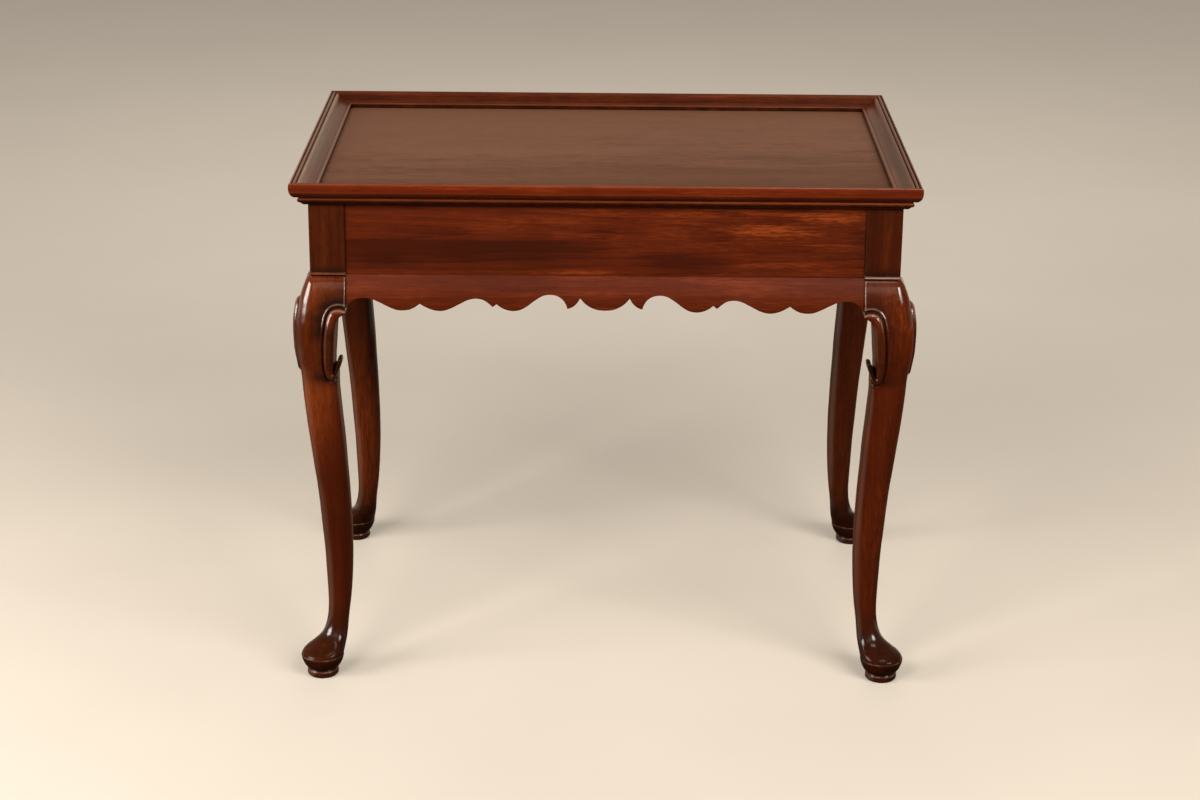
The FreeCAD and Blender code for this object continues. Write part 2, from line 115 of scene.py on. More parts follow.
def add_mesh(name, verts_mm, faces, material, replaces=(), sharp=40.0, attrs=None):
    """a new piece from millimetre vertices; faces is a list of index tuples or an (n, 4) array"""
    me = bpy.data.meshes.new(name)
    v = np.asarray(verts_mm, np.float64) * MM
    if isinstance(faces, np.ndarray):
        n, k = faces.shape
        me.vertices.add(len(v))
        me.vertices.foreach_set("co", v.astype(np.float32).ravel())
        me.loops.add(n * k)
        me.loops.foreach_set("vertex_index", faces.astype(np.int32).ravel())
        me.polygons.add(n)
        me.polygons.foreach_set("loop_start", np.arange(0, n * k, k, dtype=np.int32))
        me.update(calc_edges=True)
    else:
        me.from_pydata([tuple(p) for p in v], [], faces)
        me.update()
    me.validate()
    for key, values in (attrs or {}).items():
        a = me.attributes.new(key, "FLOAT", "POINT")
        a.data.foreach_set("value", np.asarray(values, np.float32))
    me.polygons.foreach_set("use_smooth", np.ones(len(me.polygons), bool))
    if sharp is not None:
        me.set_sharp_from_angle(angle=math.radians(sharp))
    me.materials.append(material)
    ob = bpy.data.objects.new(name, me)
    bpy.context.scene.collection.objects.link(ob)
    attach(ob, "root")
    if replaces:
        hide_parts(*replaces)
    return ob


# ---------------------------------------------------------------------------
# materials
# ---------------------------------------------------------------------------

def new_material(name):
    mat = bpy.data.materials.new(name)
    mat.use_nodes = True
    nt = mat.node_tree
    for n in list(nt.nodes):
        nt.nodes.remove(n)
    out = nt.nodes.new("ShaderNodeOutputMaterial")
    bsdf = nt.nodes.new("ShaderNodeBsdfPrincipled")
    nt.links.new(bsdf.outputs[0], out.inputs[0])
    return mat, nt, bsdf


def ramp(nt, stops, interp="LINEAR"):
    r = nt.nodes.new("ShaderNodeValToRGB")
    r.color_ramp.interpolation = interp
    el = r.color_ramp.elements
    while len(el) > 1:
        el.remove(el[-1])
    el[0].position = stops[0][0]
    el[0].color = (*stops[0][1], 1) if len(stops[0][1]) == 3 else stops[0][1]
    for pos, col in stops[1:]:
        e = el.new(pos)
        e.color = (*col, 1) if len(col) == 3 else col
    return r


def grey(v):
    return (v, v, v)


def math_node(nt, op, a, b=None, clamp=False):
    n = nt.nodes.new("ShaderNodeMath")
    n.operation = op
    n.use_clamp = clamp
    for i, x in enumerate((a, b)):
        if x is None:
            continue
        if isinstance(x, (int, float)):
            n.inputs[i].default_value = x
        else:
            nt.links.new(x, n.inputs[i])
    return n.outputs[0]


def mix_rgb(nt, mode, fac, a, b):
    n = nt.nodes.new("ShaderNodeMix")
    n.data_type = "RGBA"
    n.blend_type = mode
    n.clamp_factor = True
    for sock, x in ((n.inputs[0], fac), (n.inputs[6], a), (n.inputs[7], b)):
        if isinstance(x, (int, float)):
            sock.default_value = x
        elif isinstance(x, tuple):
            sock.default_value = (*x, 1) if len(x) == 3 else x
        else:
            nt.links.new(x, sock)
    return n.outputs[2]


def mapping(nt, src, scale, loc=(0, 0, 0), rot=(0, 0, 0)):
    m = nt.nodes.new("ShaderNodeMapping")
    m.inputs["Location"].default_value = loc
    m.inputs["Rotation"].default_value = rot
    m.inputs["Scale"].default_value = scale
    nt.links.new(src, m.inputs["Vector"])
    return m.outputs[0]


def noise(nt, src, scale, detail=2.0, rough=0.5, distort=0.0):
    n = nt.nodes.new("ShaderNodeTexNoise")
    n.inputs["Scale"].default_value = scale
    n.inputs["Detail"].default_value = detail
    n.inputs["Roughness"].default_value = rough
    n.inputs["Distortion"].default_value = distort
    nt.links.new(src, n.inputs["Vector"])
    return n.outputs[0]


AXIS_ROT = {"x": (0, 0, 0), "y": (0, 0, -math.pi / 2), "z": (0, math.pi / 2, 0)}


DARK, MID, LIGHT = (0.0345, 0.0048, 0.0012), (0.074, 0.0102, 0.0019), (0.176, 0.0310, 0.0054)


def patch(nt, vec, centre, half):
    """soft spot of value 1 at centre, fading to 0 at the half lengths; a half length of None means endless"""
    scale = tuple(0.0 if h is None else 1.0 / h for h in half)
    loc = tuple(0.0 if h is None else -c / h for c, h in zip(centre, half))
    g = nt.nodes.new("ShaderNodeTexGradient")
    g.gradient_type = "SPHERICAL"
    nt.links.new(mapping(nt, vec, scale, loc=loc), g.inputs["Vector"])
    return g.outputs["Fac"]


def wood(name, axis, seed, tone=1.0, figure=0.5, gloss=0.22, contrast=1.0, shift=0.0, rings=34.0, centre=(0.05, 0.09),
         tilt=0.03, glazing_and_shade=False, spots=(), dark_marks_and_shade=(), seams=(), spec=0.5, fine=1.0, drift=1.0, pal=None,
         arch=None, rub_highlight_colour=(0.25, 0.062, 0.0150)):
    """stained hardwood under satin lacquer; grain runs along axis.
    spots: (centre, half lengths, amount) lighten or darken the figure; the dark patches after them: (centre, half
    lengths, amount), stain in some places and painted shade in others;
    seams: (height, depth, centre, half lengths, amount) darken the figure below a crisp grain line;
    arch: (offset, slope, height, spacing, amount) pointed growth rings across a board along X"""
    mat, nt, bsdf = new_material(name)
    rs = np.random.RandomState(seed)
    off = tuple(rs.uniform(-3, 3, 3))
    tc = nt.nodes.new("ShaderNodeTexCoord")
    here = tc.outputs["Object"]
    along = mapping(nt, here, (1, 1, 1), rot=AXIS_ROT[axis])              # grain direction becomes local X
    shifted = mapping(nt, along, (1, 1, 1), loc=off)
    # growth rings cut by the surface: long cathedral figure
    ring_in = mapping(nt, along, (0.30, 1, 1), loc=(off[0], centre[0], centre[1]), rot=(0, tilt, tilt * 0.7))
    wave = nt.nodes.new("ShaderNodeTexWave")
    wave.wave_type = "RINGS"
    wave.rings_direction = "X"
    wave.inputs["Scale"].default_value = rings
    wave.inputs["Distortion"].default_value = 5.5
    wave.inputs["Detail"].default_value = 3.0
    wave.inputs["Detail Scale"].default_value = 0.9
    wave.inputs["Detail Roughness"].default_value = 0.55
    nt.links.new(ring_in, wave.inputs["Vector"])
    broad = noise(nt, mapping(nt, shifted, (2.4, 17, 17)), 1.0, 2.0, 0.5, 0.4)      # broad drift of colour
    bands = noise(nt, mapping(nt, shifted, (6.0, 95, 95)), 1.0, 3.0, 0.55, 0.3)     # bands a centimetre wide
    streak = noise(nt, mapping(nt, shifted, (13, 430, 430)), 1.0, 3.0, 0.6, 0.2)    # fine streaks
    lines = noise(nt, mapping(nt, shifted, (17, 820, 820)), 1.0, 2.0, 0.6)          # thin grain lines
    dash = noise(nt, mapping(nt, shifted, (60, 620, 620)), 1.0, 2.0, 0.6)           # short dashes
    fibre = noise(nt, mapping(nt, shifted, (42, 1500, 1500)), 1.0, 2.0, 0.55)       # fibres and pores
    blotch = noise(nt, shifted, 11.0, 3.0, 0.6, 0.4)

    def term(src, amount):
        return math_node(nt, "MULTIPLY", math_node(nt, "SUBTRACT", src, 0.5), amount * contrast)

    value = math_node(nt, "ADD", term(broad, 0.95 * drift), 0.5 + shift)
    value = math_node(nt, "ADD", value, term(bands, 0.55 * drift))
    value = math_node(nt, "ADD", value, term(streak, 0.36 * fine))
    value = math_node(nt, "ADD", value, term(lines, 0.34 * fine))
    value = math_node(nt, "ADD", value, term(dash, 0.46 * fine))
    value = math_node(nt, "ADD", value, term(wave.outputs["Fac"], 0.22 * figure))
    value = math_node(nt, "ADD", value, term(blotch, 0.35 * drift))
    # light and dark figure breaks up into streaks along the grain
    crisp = ramp(nt, [(0.42, grey(0.0)), (0.58, grey(1.0))])
    nt.links.new(math_node(nt, "ADD", math_node(nt, "MULTIPLY", streak, 0.5), math_node(nt, "MULTIPLY", dash, 0.5)), crisp.inputs[0])
    streaky = math_node(nt, "ADD", math_node(nt, "MULTIPLY", crisp.outputs[0], 0.75), 0.55)
    for c, h, amount in spots:
        soft = math_node(nt, "MULTIPLY", patch(nt, here, c, h), streaky)
        value = math_node(nt, "ADD", value, math_node(nt, "MULTIPLY", soft, amount))
    for z0, depth_, c, h, amount in seams:
        sep = nt.nodes.new("ShaderNodeSeparateXYZ")
        nt.links.new(here, sep.inputs[0])
        wavy = math_node(nt, "ADD", sep.outputs[2], math_node(nt, "MULTIPLY", math_node(nt, "SUBTRACT", bands, 0.5), 0.010))
        fall = math_node(nt, "DIVIDE", math_node(nt, "SUBTRACT", z0, wavy), depth_)
        shape = ramp(nt, [(0.0, grey(0.0)), (0.07, grey(1.0)), (0.55, grey(0.8)), (1.0, grey(0.0))])
        nt.links.new(fall, shape.inputs[0])
        wide = math_node(nt, "MULTIPLY", patch(nt, here, c, h), 2.2, clamp=True)
        soft = math_node(nt, "MULTIPLY", math_node(nt, "MULTIPLY", shape.outputs[0], wide), streaky)
        value = math_node(nt, "ADD", value, math_node(nt, "MULTIPLY", soft, amount))
    if arch:
        a0, slope, high, gap, amount = arch
        sep = nt.nodes.new("ShaderNodeSeparateXYZ")
        nt.links.new(here, sep.inputs[0])
        across_ = math_node(nt, "ADD", math_node(nt, "MULTIPLY", sep.outputs[0], slope), a0)
        up_ = math_node(nt, "SUBTRACT", sep.outputs[2], high)
        reach = math_node(nt, "SQRT", math_node(nt, "ADD", math_node(nt, "MULTIPLY", across_, across_), math_node(nt, "MULTIPLY", up_, up_)))
        reach = math_node(nt, "ADD", reach, math_node(nt, "MULTIPLY", math_node(nt, "SUBTRACT", bands, 0.5), 0.012))
        ring = math_node(nt, "FRACT", math_node(nt, "DIVIDE", reach, gap))
        tooth = ramp(nt, [(0.0, grey(0.62)), (0.5, grey(0.55)), (0.86, grey(0.22)), (0.94, grey(0.18)), (1.0, grey(0.62))])
        nt.links.new(ring, tooth.inputs[0])
        value = math_node(nt, "ADD", value, term(tooth.outputs[0], amount / contrast))
    shade = lambda c: tuple(x * tone for x in c)
    dark_c, mid_c, light_c = pal or (DARK, MID, LIGHT)
    col = ramp(nt, [(0.22, shade(dark_c)), (0.50, shade(mid_c)), (0.80, shade(light_c))])
    nt.links.new(value, col.inputs[0])
    colour = col.outputs[0]
    pore = ramp(nt, [(0.28, grey(0.35)), (0.44, grey(1.0))])
    nt.links.new(fibre, pore.inputs[0])
    colour = mix_rgb(nt, "MULTIPLY", 0.5, colour, pore.outputs[0])
    # dark patches: stain in some places, painted shade in others
    for c, h, amount in dark_marks_and_shade:
        g = math_node(nt, "MULTIPLY", patch(nt, here, c, h), amount, clamp=True)
        colour = mix_rgb(nt, "MIX", g, colour, (0.012, 0.0032, 0.0012))
    if glazing_and_shade:
        # dark glaze and painted shade in the recesses; wear and painted highlights on the raised edges
        at = nt.nodes.new("ShaderNodeAttribute")
        at.attribute_name = "glazing_and_shade"
        smoky = math_node(nt, "ADD", math_node(nt, "MULTIPLY", noise(nt, shifted, 60.0, 3.0, 0.6, 0.5), 1.1), 0.42)
        dark_in = math_node(nt, "MULTIPLY", math_node(nt, "MULTIPLY", at.outputs["Fac"], smoky), 0.96, clamp=True)
        colour = mix_rgb(nt, "MIX", dark_in, colour, (0.0095, 0.0032, 0.0014))
        at2 = nt.nodes.new("ShaderNodeAttribute")
        at2.attribute_name = "rubbing_and_highlight"
        rub_and_highlight_mix = math_node(nt, "MULTIPLY", at2.outputs["Fac"], math_node(nt, "ADD", blotch, 0.25), clamp=True)
        colour = mix_rgb(nt, "MIX", rub_and_highlight_mix, colour, shade(rub_highlight_colour))
    nt.links.new(colour, bsdf.inputs["Base Color"])
    rough = ramp(nt, [(0.25, grey(gloss - 0.04)), (0.75, grey(gloss + 0.06))])      # satin lacquer, slightly uneven
    nt.links.new(blotch, rough.inputs[0])
    nt.links.new(rough.outputs[0], bsdf.inputs["Roughness"])
    bsdf.inputs["IOR"].default_value = 1.5
    bsdf.inputs["Specular IOR Level"].default_value = spec
    if glazing_and_shade:
        # wax and dust left in the recesses dull the lacquer there
        at3 = nt.nodes.new("ShaderNodeAttribute")
        at3.attribute_name = "dull"
        keen = ramp(nt, [(0.0, grey(spec)), (1.0, grey(spec * 0.06))])
        nt.links.new(at3.outputs["Fac"], keen.inputs[0])
        nt.links.new(keen.outputs[0], bsdf.inputs["Specular IOR Level"])
    # grain telegraphs through the lacquer
    height = math_node(nt, "ADD", math_node(nt, "MULTIPLY", streak, 0.45), math_node(nt, "MULTIPLY", pore.outputs[0], 0.25))
    height = math_node(nt, "ADD", height, math_node(nt, "MULTIPLY", blotch, 0.9))
    bump = nt.nodes.new("ShaderNodeBump")
    bump.inputs["Strength"].default_value = 0.08
    bump.inputs["Distance"].default_value = 0.0005
    nt.links.new(height, bump.inputs["Height"])
    nt.links.new(bump.outputs[0], bsdf.inputs["Normal"])
    return mat


def plain_wood(name, axis, seed, colour=(0.42, 0.26, 0.13)):
    """unfinished inner wood"""
    mat, nt, bsdf = new_material(name)
    rs = np.random.RandomState(seed)
    tc = nt.nodes.new("ShaderNodeTexCoord")
    along = mapping(nt, tc.outputs["Object"], (1, 1, 1), rot=AXIS_ROT[axis])
    shifted = mapping(nt, along, (1, 1, 1), loc=tuple(rs.uniform(-3, 3, 3)))
    streak = noise(nt, mapping(nt, shifted, (6, 160, 160)), 1.0, 4.0, 0.6, 0.3)
    col = ramp(nt, [(0.3, tuple(c * 0.62 for c in colour)), (0.7, colour)])
    nt.links.new(streak, col.inputs[0])
    fine = noise(nt, mapping(nt, shifted, (30, 900, 900)), 1.0, 2.0, 0.5)
    fm = ramp(nt, [(0.3, grey(0.6)), (0.5, grey(1.0))])
    nt.links.new(fine, fm.inputs[0])
    nt.links.new(mix_rgb(nt, "MULTIPLY", 0.6, col.outputs[0], fm.outputs[0]), bsdf.inputs["Base Color"])
    rr = ramp(nt, [(0.3, grey(0.55)), (0.7, grey(0.75))])
    nt.links.new(streak, rr.inputs[0])
    nt.links.new(rr.outputs[0], bsdf.inputs["Roughness"])
    bump = nt.nodes.new("ShaderNodeBump")
    bump.inputs["Strength"].default_value = 0.25
    bump.inputs["Distance"].default_value = 0.0006
    nt.links.new(streak, bump.inputs["Height"])
    nt.links.new(bump.outputs[0], bsdf.inputs["Normal"])
    return mat


def steel(name):
    mat, nt, bsdf = new_material(name)
    tc = nt.nodes.new("ShaderNodeTexCoord")
    n = noise(nt, tc.outputs["Object"], 900.0, 3.0, 0.6)
    col = ramp(nt, [(0.3, (0.30, 0.28, 0.26)), (0.7, (0.52, 0.50, 0.47))])
    nt.links.new(n, col.inputs[0])
    nt.links.new(col.outputs[0], bsdf.inputs["Base Color"])
    rr = ramp(nt, [(0.3, grey(0.28)), (0.7, grey(0.5))])
    nt.links.new(n, rr.inputs[0])
    nt.links.new(rr.outputs[0], bsdf.inputs["Roughness"])
    bsdf.inputs["Metallic"].default_value = 1.0
    return mat


def felt_material(name):
    mat, nt, bsdf = new_material(name)
    tc = nt.nodes.new("ShaderNodeTexCoord")
    n = noise(nt, tc.outputs["Object"], 1800.0, 4.0, 0.7, 1.0)
    col = ramp(nt, [(0.3, (0.010, 0.008, 0.007)), (0.7, (0.040, 0.033, 0.028))])
    nt.links.new(n, col.inputs[0])
    nt.links.new(col.outputs[0], bsdf.inputs["Base Color"])
    bsdf.inputs["Roughness"].default_value = 0.95
    bsdf.inputs["Sheen Weight"].default_value = 0.3
    bump = nt.nodes.new("ShaderNodeBump")
    bump.inputs["Strength"].default_value = 0.6
    bump.inputs["Distance"].default_value = 0.0005
    nt.links.new(n, bump.inputs["Height"])
    nt.links.new(bump.outputs[0], bsdf.inputs["Normal"])
    return mat


# ---------------------------------------------------------------------------
# legs: one carved leg as a distance field, meshed, then mirrored to the four corners
# (u from the tray's side edge, v from its front edge, z up; millimetres)
# ---------------------------------------------------------------------------
LEG_Z = [544.9, 541.0, 538.0, 533.0, 525.0, 515.0, 505.0, 495.0, 482.0, 470.0, 457.0, 446.0, 437.0, 428.0, 419.0, 410.0, 398.0,
         380.0, 350.0, 320.0, 290.0, 260.0, 230.0, 200.0, 170.0, 140.0, 115.0, 95.0, 80.0, 70.0, 61.0, 53.0, 47.0, 41.0, 36.0,
         32.0, 29.4]
LEG_O = [18.9, 17.2, 15.2, 12.9, 9.9, 6.9, 5.1, 3.5, 1.8, 1.4, 1.6, 2.3, 3.4, 4.8, 5.9, 6.7, 7.3,
         8.5, 11.0, 14.1, 17.1, 20.4, 22.8, 24.8, 26.9, 28.1, 29.0, 29.5, 28.8, 27.3, 24.9, 21.0, 15.6, 7.4, -0.4,
         -4.2, -5.2]
LEG_I = [65.5, 65.5, 65.5, 65.5, 65.5, 65.5, 65.5, 65.0, 63.5, 60.0, 55.0, 51.6, 50.4, 51.0, 52.2, 53.1, 53.0,
         54.2, 56.4, 58.6, 60.0, 61.6, 62.7, 63.5, 63.4, 62.3, 60.6, 58.6, 56.5, 55.4, 54.6, 53.9, 53.1, 52.0, 50.9,
         50.0, 49.3]
SCROLL_OUT = [(70.0, 503.9), (65.5, 505.4), (60.0, 506.9), (54.6, 507.0), (48.2, 504.6), (43.4, 497.6), (40.2, 484.6),
              (38.3, 470.6), (37.1, 454.5), (37.0, 438.4), (38.0, 424.2), (40.8, 414.6), (45.8, 410.6)]
SCROLL_IN = [(48.4, 421.4), (48.9, 434.4), (49.6, 444.5), (50.4, 456.0), (51.2, 468.0), (52.5, 482.0),
             (54.2, 489.5), (57.2, 494.6), (61.2, 497.8), (65.5, 499.6), (70.0, 501.2)]
HOOK_OUT = [(45.8, 410.6), (49.2, 412.8), (52.4, 418.0), (55.2, 424.3), (58.2, 432.0), (60.8, 439.6)]
HOOK_IN = [(60.8, 439.6), (60.6, 442.4), (58.6, 443.8), (55.6, 442.9), (53.2, 437.4), (50.8, 429.6), (48.4, 421.4)]


def poly_sdf(poly, P, Z):
    """signed distance to a closed polygon, positive inside, at the points P, Z"""
    a, b = poly, np.roll(poly, -1, axis=0)
    best = np.full(P.shape, 1e9)
    inside = np.zeros(P.shape, bool)
    for (x0, y0), (x1, y1) in zip(a, b):
        ex, ey = x1 - x0, y1 - y0
        ll = ex * ex + ey * ey
        if ll < 1e-12:
            continue
        wx, wy = P - x0, Z - y0
        t = np.clip((wx * ex + wy * ey) / ll, 0, 1)
        best = np.minimum(best, (wx - ex * t) ** 2 + (wy - ey * t) ** 2)
        cross = ((y0 > Z) != (y1 > Z))
        if cross.any() and abs(ey) > 1e-12:
            xi = x0 + (Z - y0) * ex / ey
            inside ^= cross & (P < xi)
    d = np.sqrt(best)
    return np.where(inside, d, -d)


def line_dist(line, P, Z):
    """distance to an open polyline at the points P, Z"""
    best = np.full(P.shape, 1e9)
    for (x0, y0), (x1, y1) in zip(line[:-1], line[1:]):
        ex, ey = x1 - x0, y1 - y0
        ll = max(ex * ex + ey * ey, 1e-12)
        wx, wy = P - x0, Z - y0
        t = np.clip((wx * ex + wy * ey) / ll, 0, 1)
        best = np.minimum(best, (wx - ex * t) ** 2 + (wy - ey * t) ** 2)
    return np.sqrt(best)


def smin(a, b, k):
    h = np.clip(0.5 + 0.5 * (b - a) / k, 0, 1)
    return b * (1 - h) + a * h - k * h * (1 - h)


def smax(a, b, k):
    return -smin(-a, -b, k)


def spaced(*runs):
    out = [runs[0][0]]
    for lo, hi, step in runs:
        n = max(1, int(round((hi - lo) / step)))
        out += list(lo + (hi - lo) * (np.arange(n) + 1) / n)
    return np.array(out)


def normalised(d, gu, gv, gz):
    g = np.gradient(d, gu, gv, gz)
    return d / np.clip(np.sqrt(g[0] ** 2 + g[1] ** 2 + g[2] ** 2), 0.6, 4.0)


def leg_field():
    gu = spaced((-8.6, 36.0, 1.1), (36.0, 67.4, 0.78))
    gv = gu
    gz = spaced((0.6, 12.0, 0.48), (12.0, 33.0, 0.62), (33.0, 64.0, 1.05), (64.0, 400.0, 3.3), (400.0, 511.0, 0.92),
                (511.0, 539.0, 1.3), (539.0, 549.8, 0.45), (549.8, 634.0, 4.2), (634.0, 638.2, 0.6))
    U = gu[:, None, None]
    V = gv[None, :, None]
    z1 = gz
    Z = gz[None, None, :]
    o = pchip(LEG_Z, LEG_O, z1)
    i = pchip(LEG_Z, LEG_I, z1)
    c, a = (o + i) / 2, (i - o) / 2
    r_o = np.minimum(pchip([545, 530, 505, 470, 440, 410, 320, 200, 140, 95], [9, 15, 18, 18.5, 18, 17, 15.5, 15, 15, 14.5], z1), a - 0.05)
    r_m = np.minimum(pchip([545, 530, 505, 470, 440, 410, 380, 320, 260, 200, 140, 95], [1.3, 1.5, 1.7, 2.4, 3.4, 6.5, 8.5, 10.5, 12.2, 13.4, 14.4, 14.5], z1), a - 0.05)
    r_i = np.minimum(pchip([545, 505, 440, 410, 380, 320, 260, 200, 140, 95], [2, 3, 5, 8, 11, 13.5, 15, 15.5, 15.5, 14.5], z1), a - 0.05)
    w = pchip([545, 500, 430, 400, 300, 200, 140, 95, 0], [0.0, 0.03, 0.06, 0.16, 0.36, 0.55, 0.78, 1.0, 1.0], z1)
    pu, pv = U - c, V - c
    r = np.where((pu < 0) & (pv < 0), r_o, np.where((pu > 0) & (pv > 0), r_i, r_m))
    qx, qy = np.abs(pu) - a + r, np.abs(pv) - a + r
    box = np.minimum(np.maximum(qx, qy), 0) + np.sqrt(np.maximum(qx, 0) ** 2 + np.maximum(qy, 0) ** 2) - r
    circ = np.sqrt(pu ** 2 + pv ** 2) - a
    d = box * (1 - w) + circ * w
    # the pad's underside: bowl, groove and disc, turned about the pad's own axis
    rad = np.sqrt((U - 22.0) ** 2 + (V - 22.0) ** 2)
    prof_z = [1.5, 2.0, 2.8, 4.4, 6.4, 7.8, 8.7, 9.3, 9.9, 10.5, 11.2, 13.0, 16.0, 19.6, 23.0, 26.0, 27.6, 28.6, 29.4]
    prof_r = [19.2, 19.9, 20.3, 20.4, 20.4, 20.3, 19.8, 19.0, 18.6, 19.1, 20.3, 21.8, 23.8, 25.5, 26.7, 27.45, 27.7, 27.6, 27.2]
    foot = rad - pchip(prof_z, prof_r, z1)
    low = z1 < 29.4
    d = np.where(low[None, None, :], foot, d)
    d = normalised(d, gu, gv, gz)
    d = smax(d, Z - 544.7, 3.6)
    d = np.maximum(d, 1.5 - Z)

    # C-scroll on the front face: raised band with a groove outside it, open inside, with a hook at its lower end
    lo, li = catmull(SCROLL_OUT, 0.8), catmull(SCROLL_IN, 0.8)
    ho, hi = catmull(HOOK_OUT, 0.5), catmull(HOOK_IN, 0.5)
    band = np.vstack([lo[:-1], ho[:-1], hi[:-1], li])
    sel = (gz > 396) & (gz < 520)
    zz = gz[sel]
    PP, ZZ = np.meshgrid(gu, zz, indexing="ij")
    inside = poly_sdf(band, PP, ZZ)                      # positive in the band
    edge = line_dist(np.vstack([lo, ho]), PP, ZZ)        # distance to the band's outer line
    void = np.vstack([hi[:-1], li, [(95.0, 501.2), (95.0, 440.6)]])
    hollow = poly_sdf(void, PP, ZZ)                      # positive in the open inside
    H, R = 6.5, 5.6
    t = np.clip(inside / R, 0, 1)
    raise_ = H * np.sqrt(np.clip(1 - (1 - t) ** 2, 0, 1))
    groove = np.where((inside < 0) & (hollow < 0), -1.7 * np.clip(1 - (edge / 2.6) ** 2, 0, 1)
                      + (0.45 + 0.6 * np.clip((ZZ - 468.0) / 14.0, 0, 1)) * np.exp(-((edge - 3.6) / 1.0) ** 2), 0.0)
    lift2 = np.where(inside > 0, raise_, groove)

    lift = np.zeros_like(d)
    cz, oz = c[sel], o[sel]
    near_v = np.clip((cz[None, :] - 3 - gv[:, None]) / 6.0, 0, 1)      # front half of the leg
    lift[:, :, sel] += lift2[:, None, :] * near_v[None, :, :]
    lift[:, :, sel] += lift2[None, :, :] * near_v[:, None, :]
    d = d - lift
    # the hook stands free of the leg, a short way in from each face
    for flip in (False, True):
        A = inside[:, None, :] if not flip else inside[None, :, :]
        B = (V if not flip else U)
        front = (oz - 0)[None, None, :] - (raise_[:, None, :] if not flip else raise_[None, :, :]) - B
        back = B - (oz + 13.0)[None, None, :]
        hook = np.maximum(np.maximum(-A, front), back)
        hook = np.where((zz < 446.0)[None, None, :], hook, 9.0)
        d[:, :, sel] = smin(d[:, :, sel], hook, 0.8)
        cut = (hollow[:, None, :] if not flip else hollow[None, :, :])
        d[:, :, sel] = smax(d[:, :, sel], cut, 1.3)
    # square post, and the small bead at its foot
    def square(lo_, hi_, rr, ri):
        cc, aa = (lo_ + hi_) / 2, (hi_ - lo_) / 2
        x, y = U - cc, V - cc
        rad_ = np.where((x < 0) & (y < 0), rr, ri)
        ax, ay = np.abs(x) - aa + rad_, np.abs(y) - aa + rad_
        return np.minimum(np.maximum(ax, ay), 0) + np.sqrt(np.maximum(ax, 0) ** 2 + np.maximum(ay, 0) ** 2) - rad_
    post = np.maximum(square(21.0, 65.5, 1.6, 0.9), np.maximum(540.0 - Z, Z - 637.0))
    edge_in = pchip([545.4, 545.8, 546.2, 546.6, 548.7], [20.9, 19.6, 19.1, 19.1, 21.0], z1)
    ledge = np.maximum(square(edge_in, 65.5, 2.4, 0.9), np.abs(Z - 547.0) - 1.7)
    d = np.minimum(d, np.minimum(post, ledge))
    # flush with the post's inner faces
    d = np.maximum(d, np.maximum(U - 65.5, V - 65.5))
    return d, gu, gv, gz


def surface_nets(d, gx, gy, gz):
    inside = d < 0
    s = [inside[a:inside.shape[0] - 1 + a, b:inside.shape[1] - 1 + b, e:inside.shape[2] - 1 + e]
         for a in (0, 1) for b in (0, 1) for e in (0, 1)]
    total = sum(x.astype(np.int8) for x in s)
    act = np.argwhere((total > 0) & (total < 8))
    index = np.full(total.shape, -1, np.int64)
    index[act[:, 0], act[:, 1], act[:, 2]] = np.arange(len(act))
    I, J, K = act.T
    acc, cnt = np.zeros((len(act), 3)), np.zeros(len(act))
    corner = lambda a, b, e: d[I + a, J + b, K + e]
    pos = lambda a, b, e: np.stack([gx[I + a], gy[J + b], gz[K + e]], 1)
    for a, b in (((0, 0, 0), (1, 0, 0)), ((0, 1, 0), (1, 1, 0)), ((0, 0, 1), (1, 0, 1)), ((0, 1, 1), (1, 1, 1)),
                 ((0, 0, 0), (0, 1, 0)), ((1, 0, 0), (1, 1, 0)), ((0, 0, 1), (0, 1, 1)), ((1, 0, 1), (1, 1, 1)),
                 ((0, 0, 0), (0, 0, 1)), ((1, 0, 0), (1, 0, 1)), ((0, 1, 0), (0, 1, 1)), ((1, 1, 0), (1, 1, 1))):
        da, db = corner(*a), corner(*b)
        hit = (da < 0) != (db < 0)
        t = np.where(hit, da / np.where(hit, da - db, 1.0), 0.0)
        p = pos(*a) + t[:, None] * (pos(*b) - pos(*a))
        acc[hit] += p[hit]
        cnt += hit
    verts = acc / cnt[:, None]
    quads = []
    n0, n1, n2 = d.shape
    e = np.argwhere(inside[:-1, 1:-1, 1:-1] != inside[1:, 1:-1, 1:-1])
    x, y, z = e[:, 0], e[:, 1] + 1, e[:, 2] + 1
    q = np.stack([index[x, y - 1, z - 1], index[x, y, z - 1], index[x, y, z], index[x, y - 1, z]], 1)
    flip = ~inside[x, y, z]
    q[flip] = q[flip][:, ::-1]
    quads.append(q)
    e = np.argwhere(inside[1:-1, :-1, 1:-1] != inside[1:-1, 1:, 1:-1])
    x, y, z = e[:, 0] + 1, e[:, 1], e[:, 2] + 1
    q = np.stack([index[x - 1, y, z - 1], index[x - 1, y, z], index[x, y, z], index[x, y, z - 1]], 1)
    flip = ~inside[x, y, z]
    q[flip] = q[flip][:, ::-1]
    quads.append(q)
    e = np.argwhere(inside[1:-1, 1:-1, :-1] != inside[1:-1, 1:-1, 1:])
    x, y, z = e[:, 0] + 1, e[:, 1] + 1, e[:, 2]
    q = np.stack([index[x - 1, y - 1, z], index[x, y - 1, z], index[x, y, z], index[x - 1, y, z]], 1)
    flip = ~inside[x, y, z]
    q[flip] = q[flip][:, ::-1]
    quads.append(q)
    return verts, np.vstack(quads)


def sample(d, gx, gy, gz, p):
    idx, fr = [], []
    for g, k in ((gx, 0), (gy, 1), (gz, 2)):
        i = np.clip(np.searchsorted(g, p[:, k]) - 1, 0, len(g) - 2)
        idx.append(i)
        fr.append(np.clip((p[:, k] - g[i]) / (g[i + 1] - g[i]), 0, 1))
    i, j, k = idx
    x, y, z = fr
    out = 0
    for a in (0, 1):
        for b in (0, 1):
            for e in (0, 1):
                out = out + d[i + a, j + b, k + e] * (x if a else 1 - x) * (y if b else 1 - y) * (z if e else 1 - z)
    return out


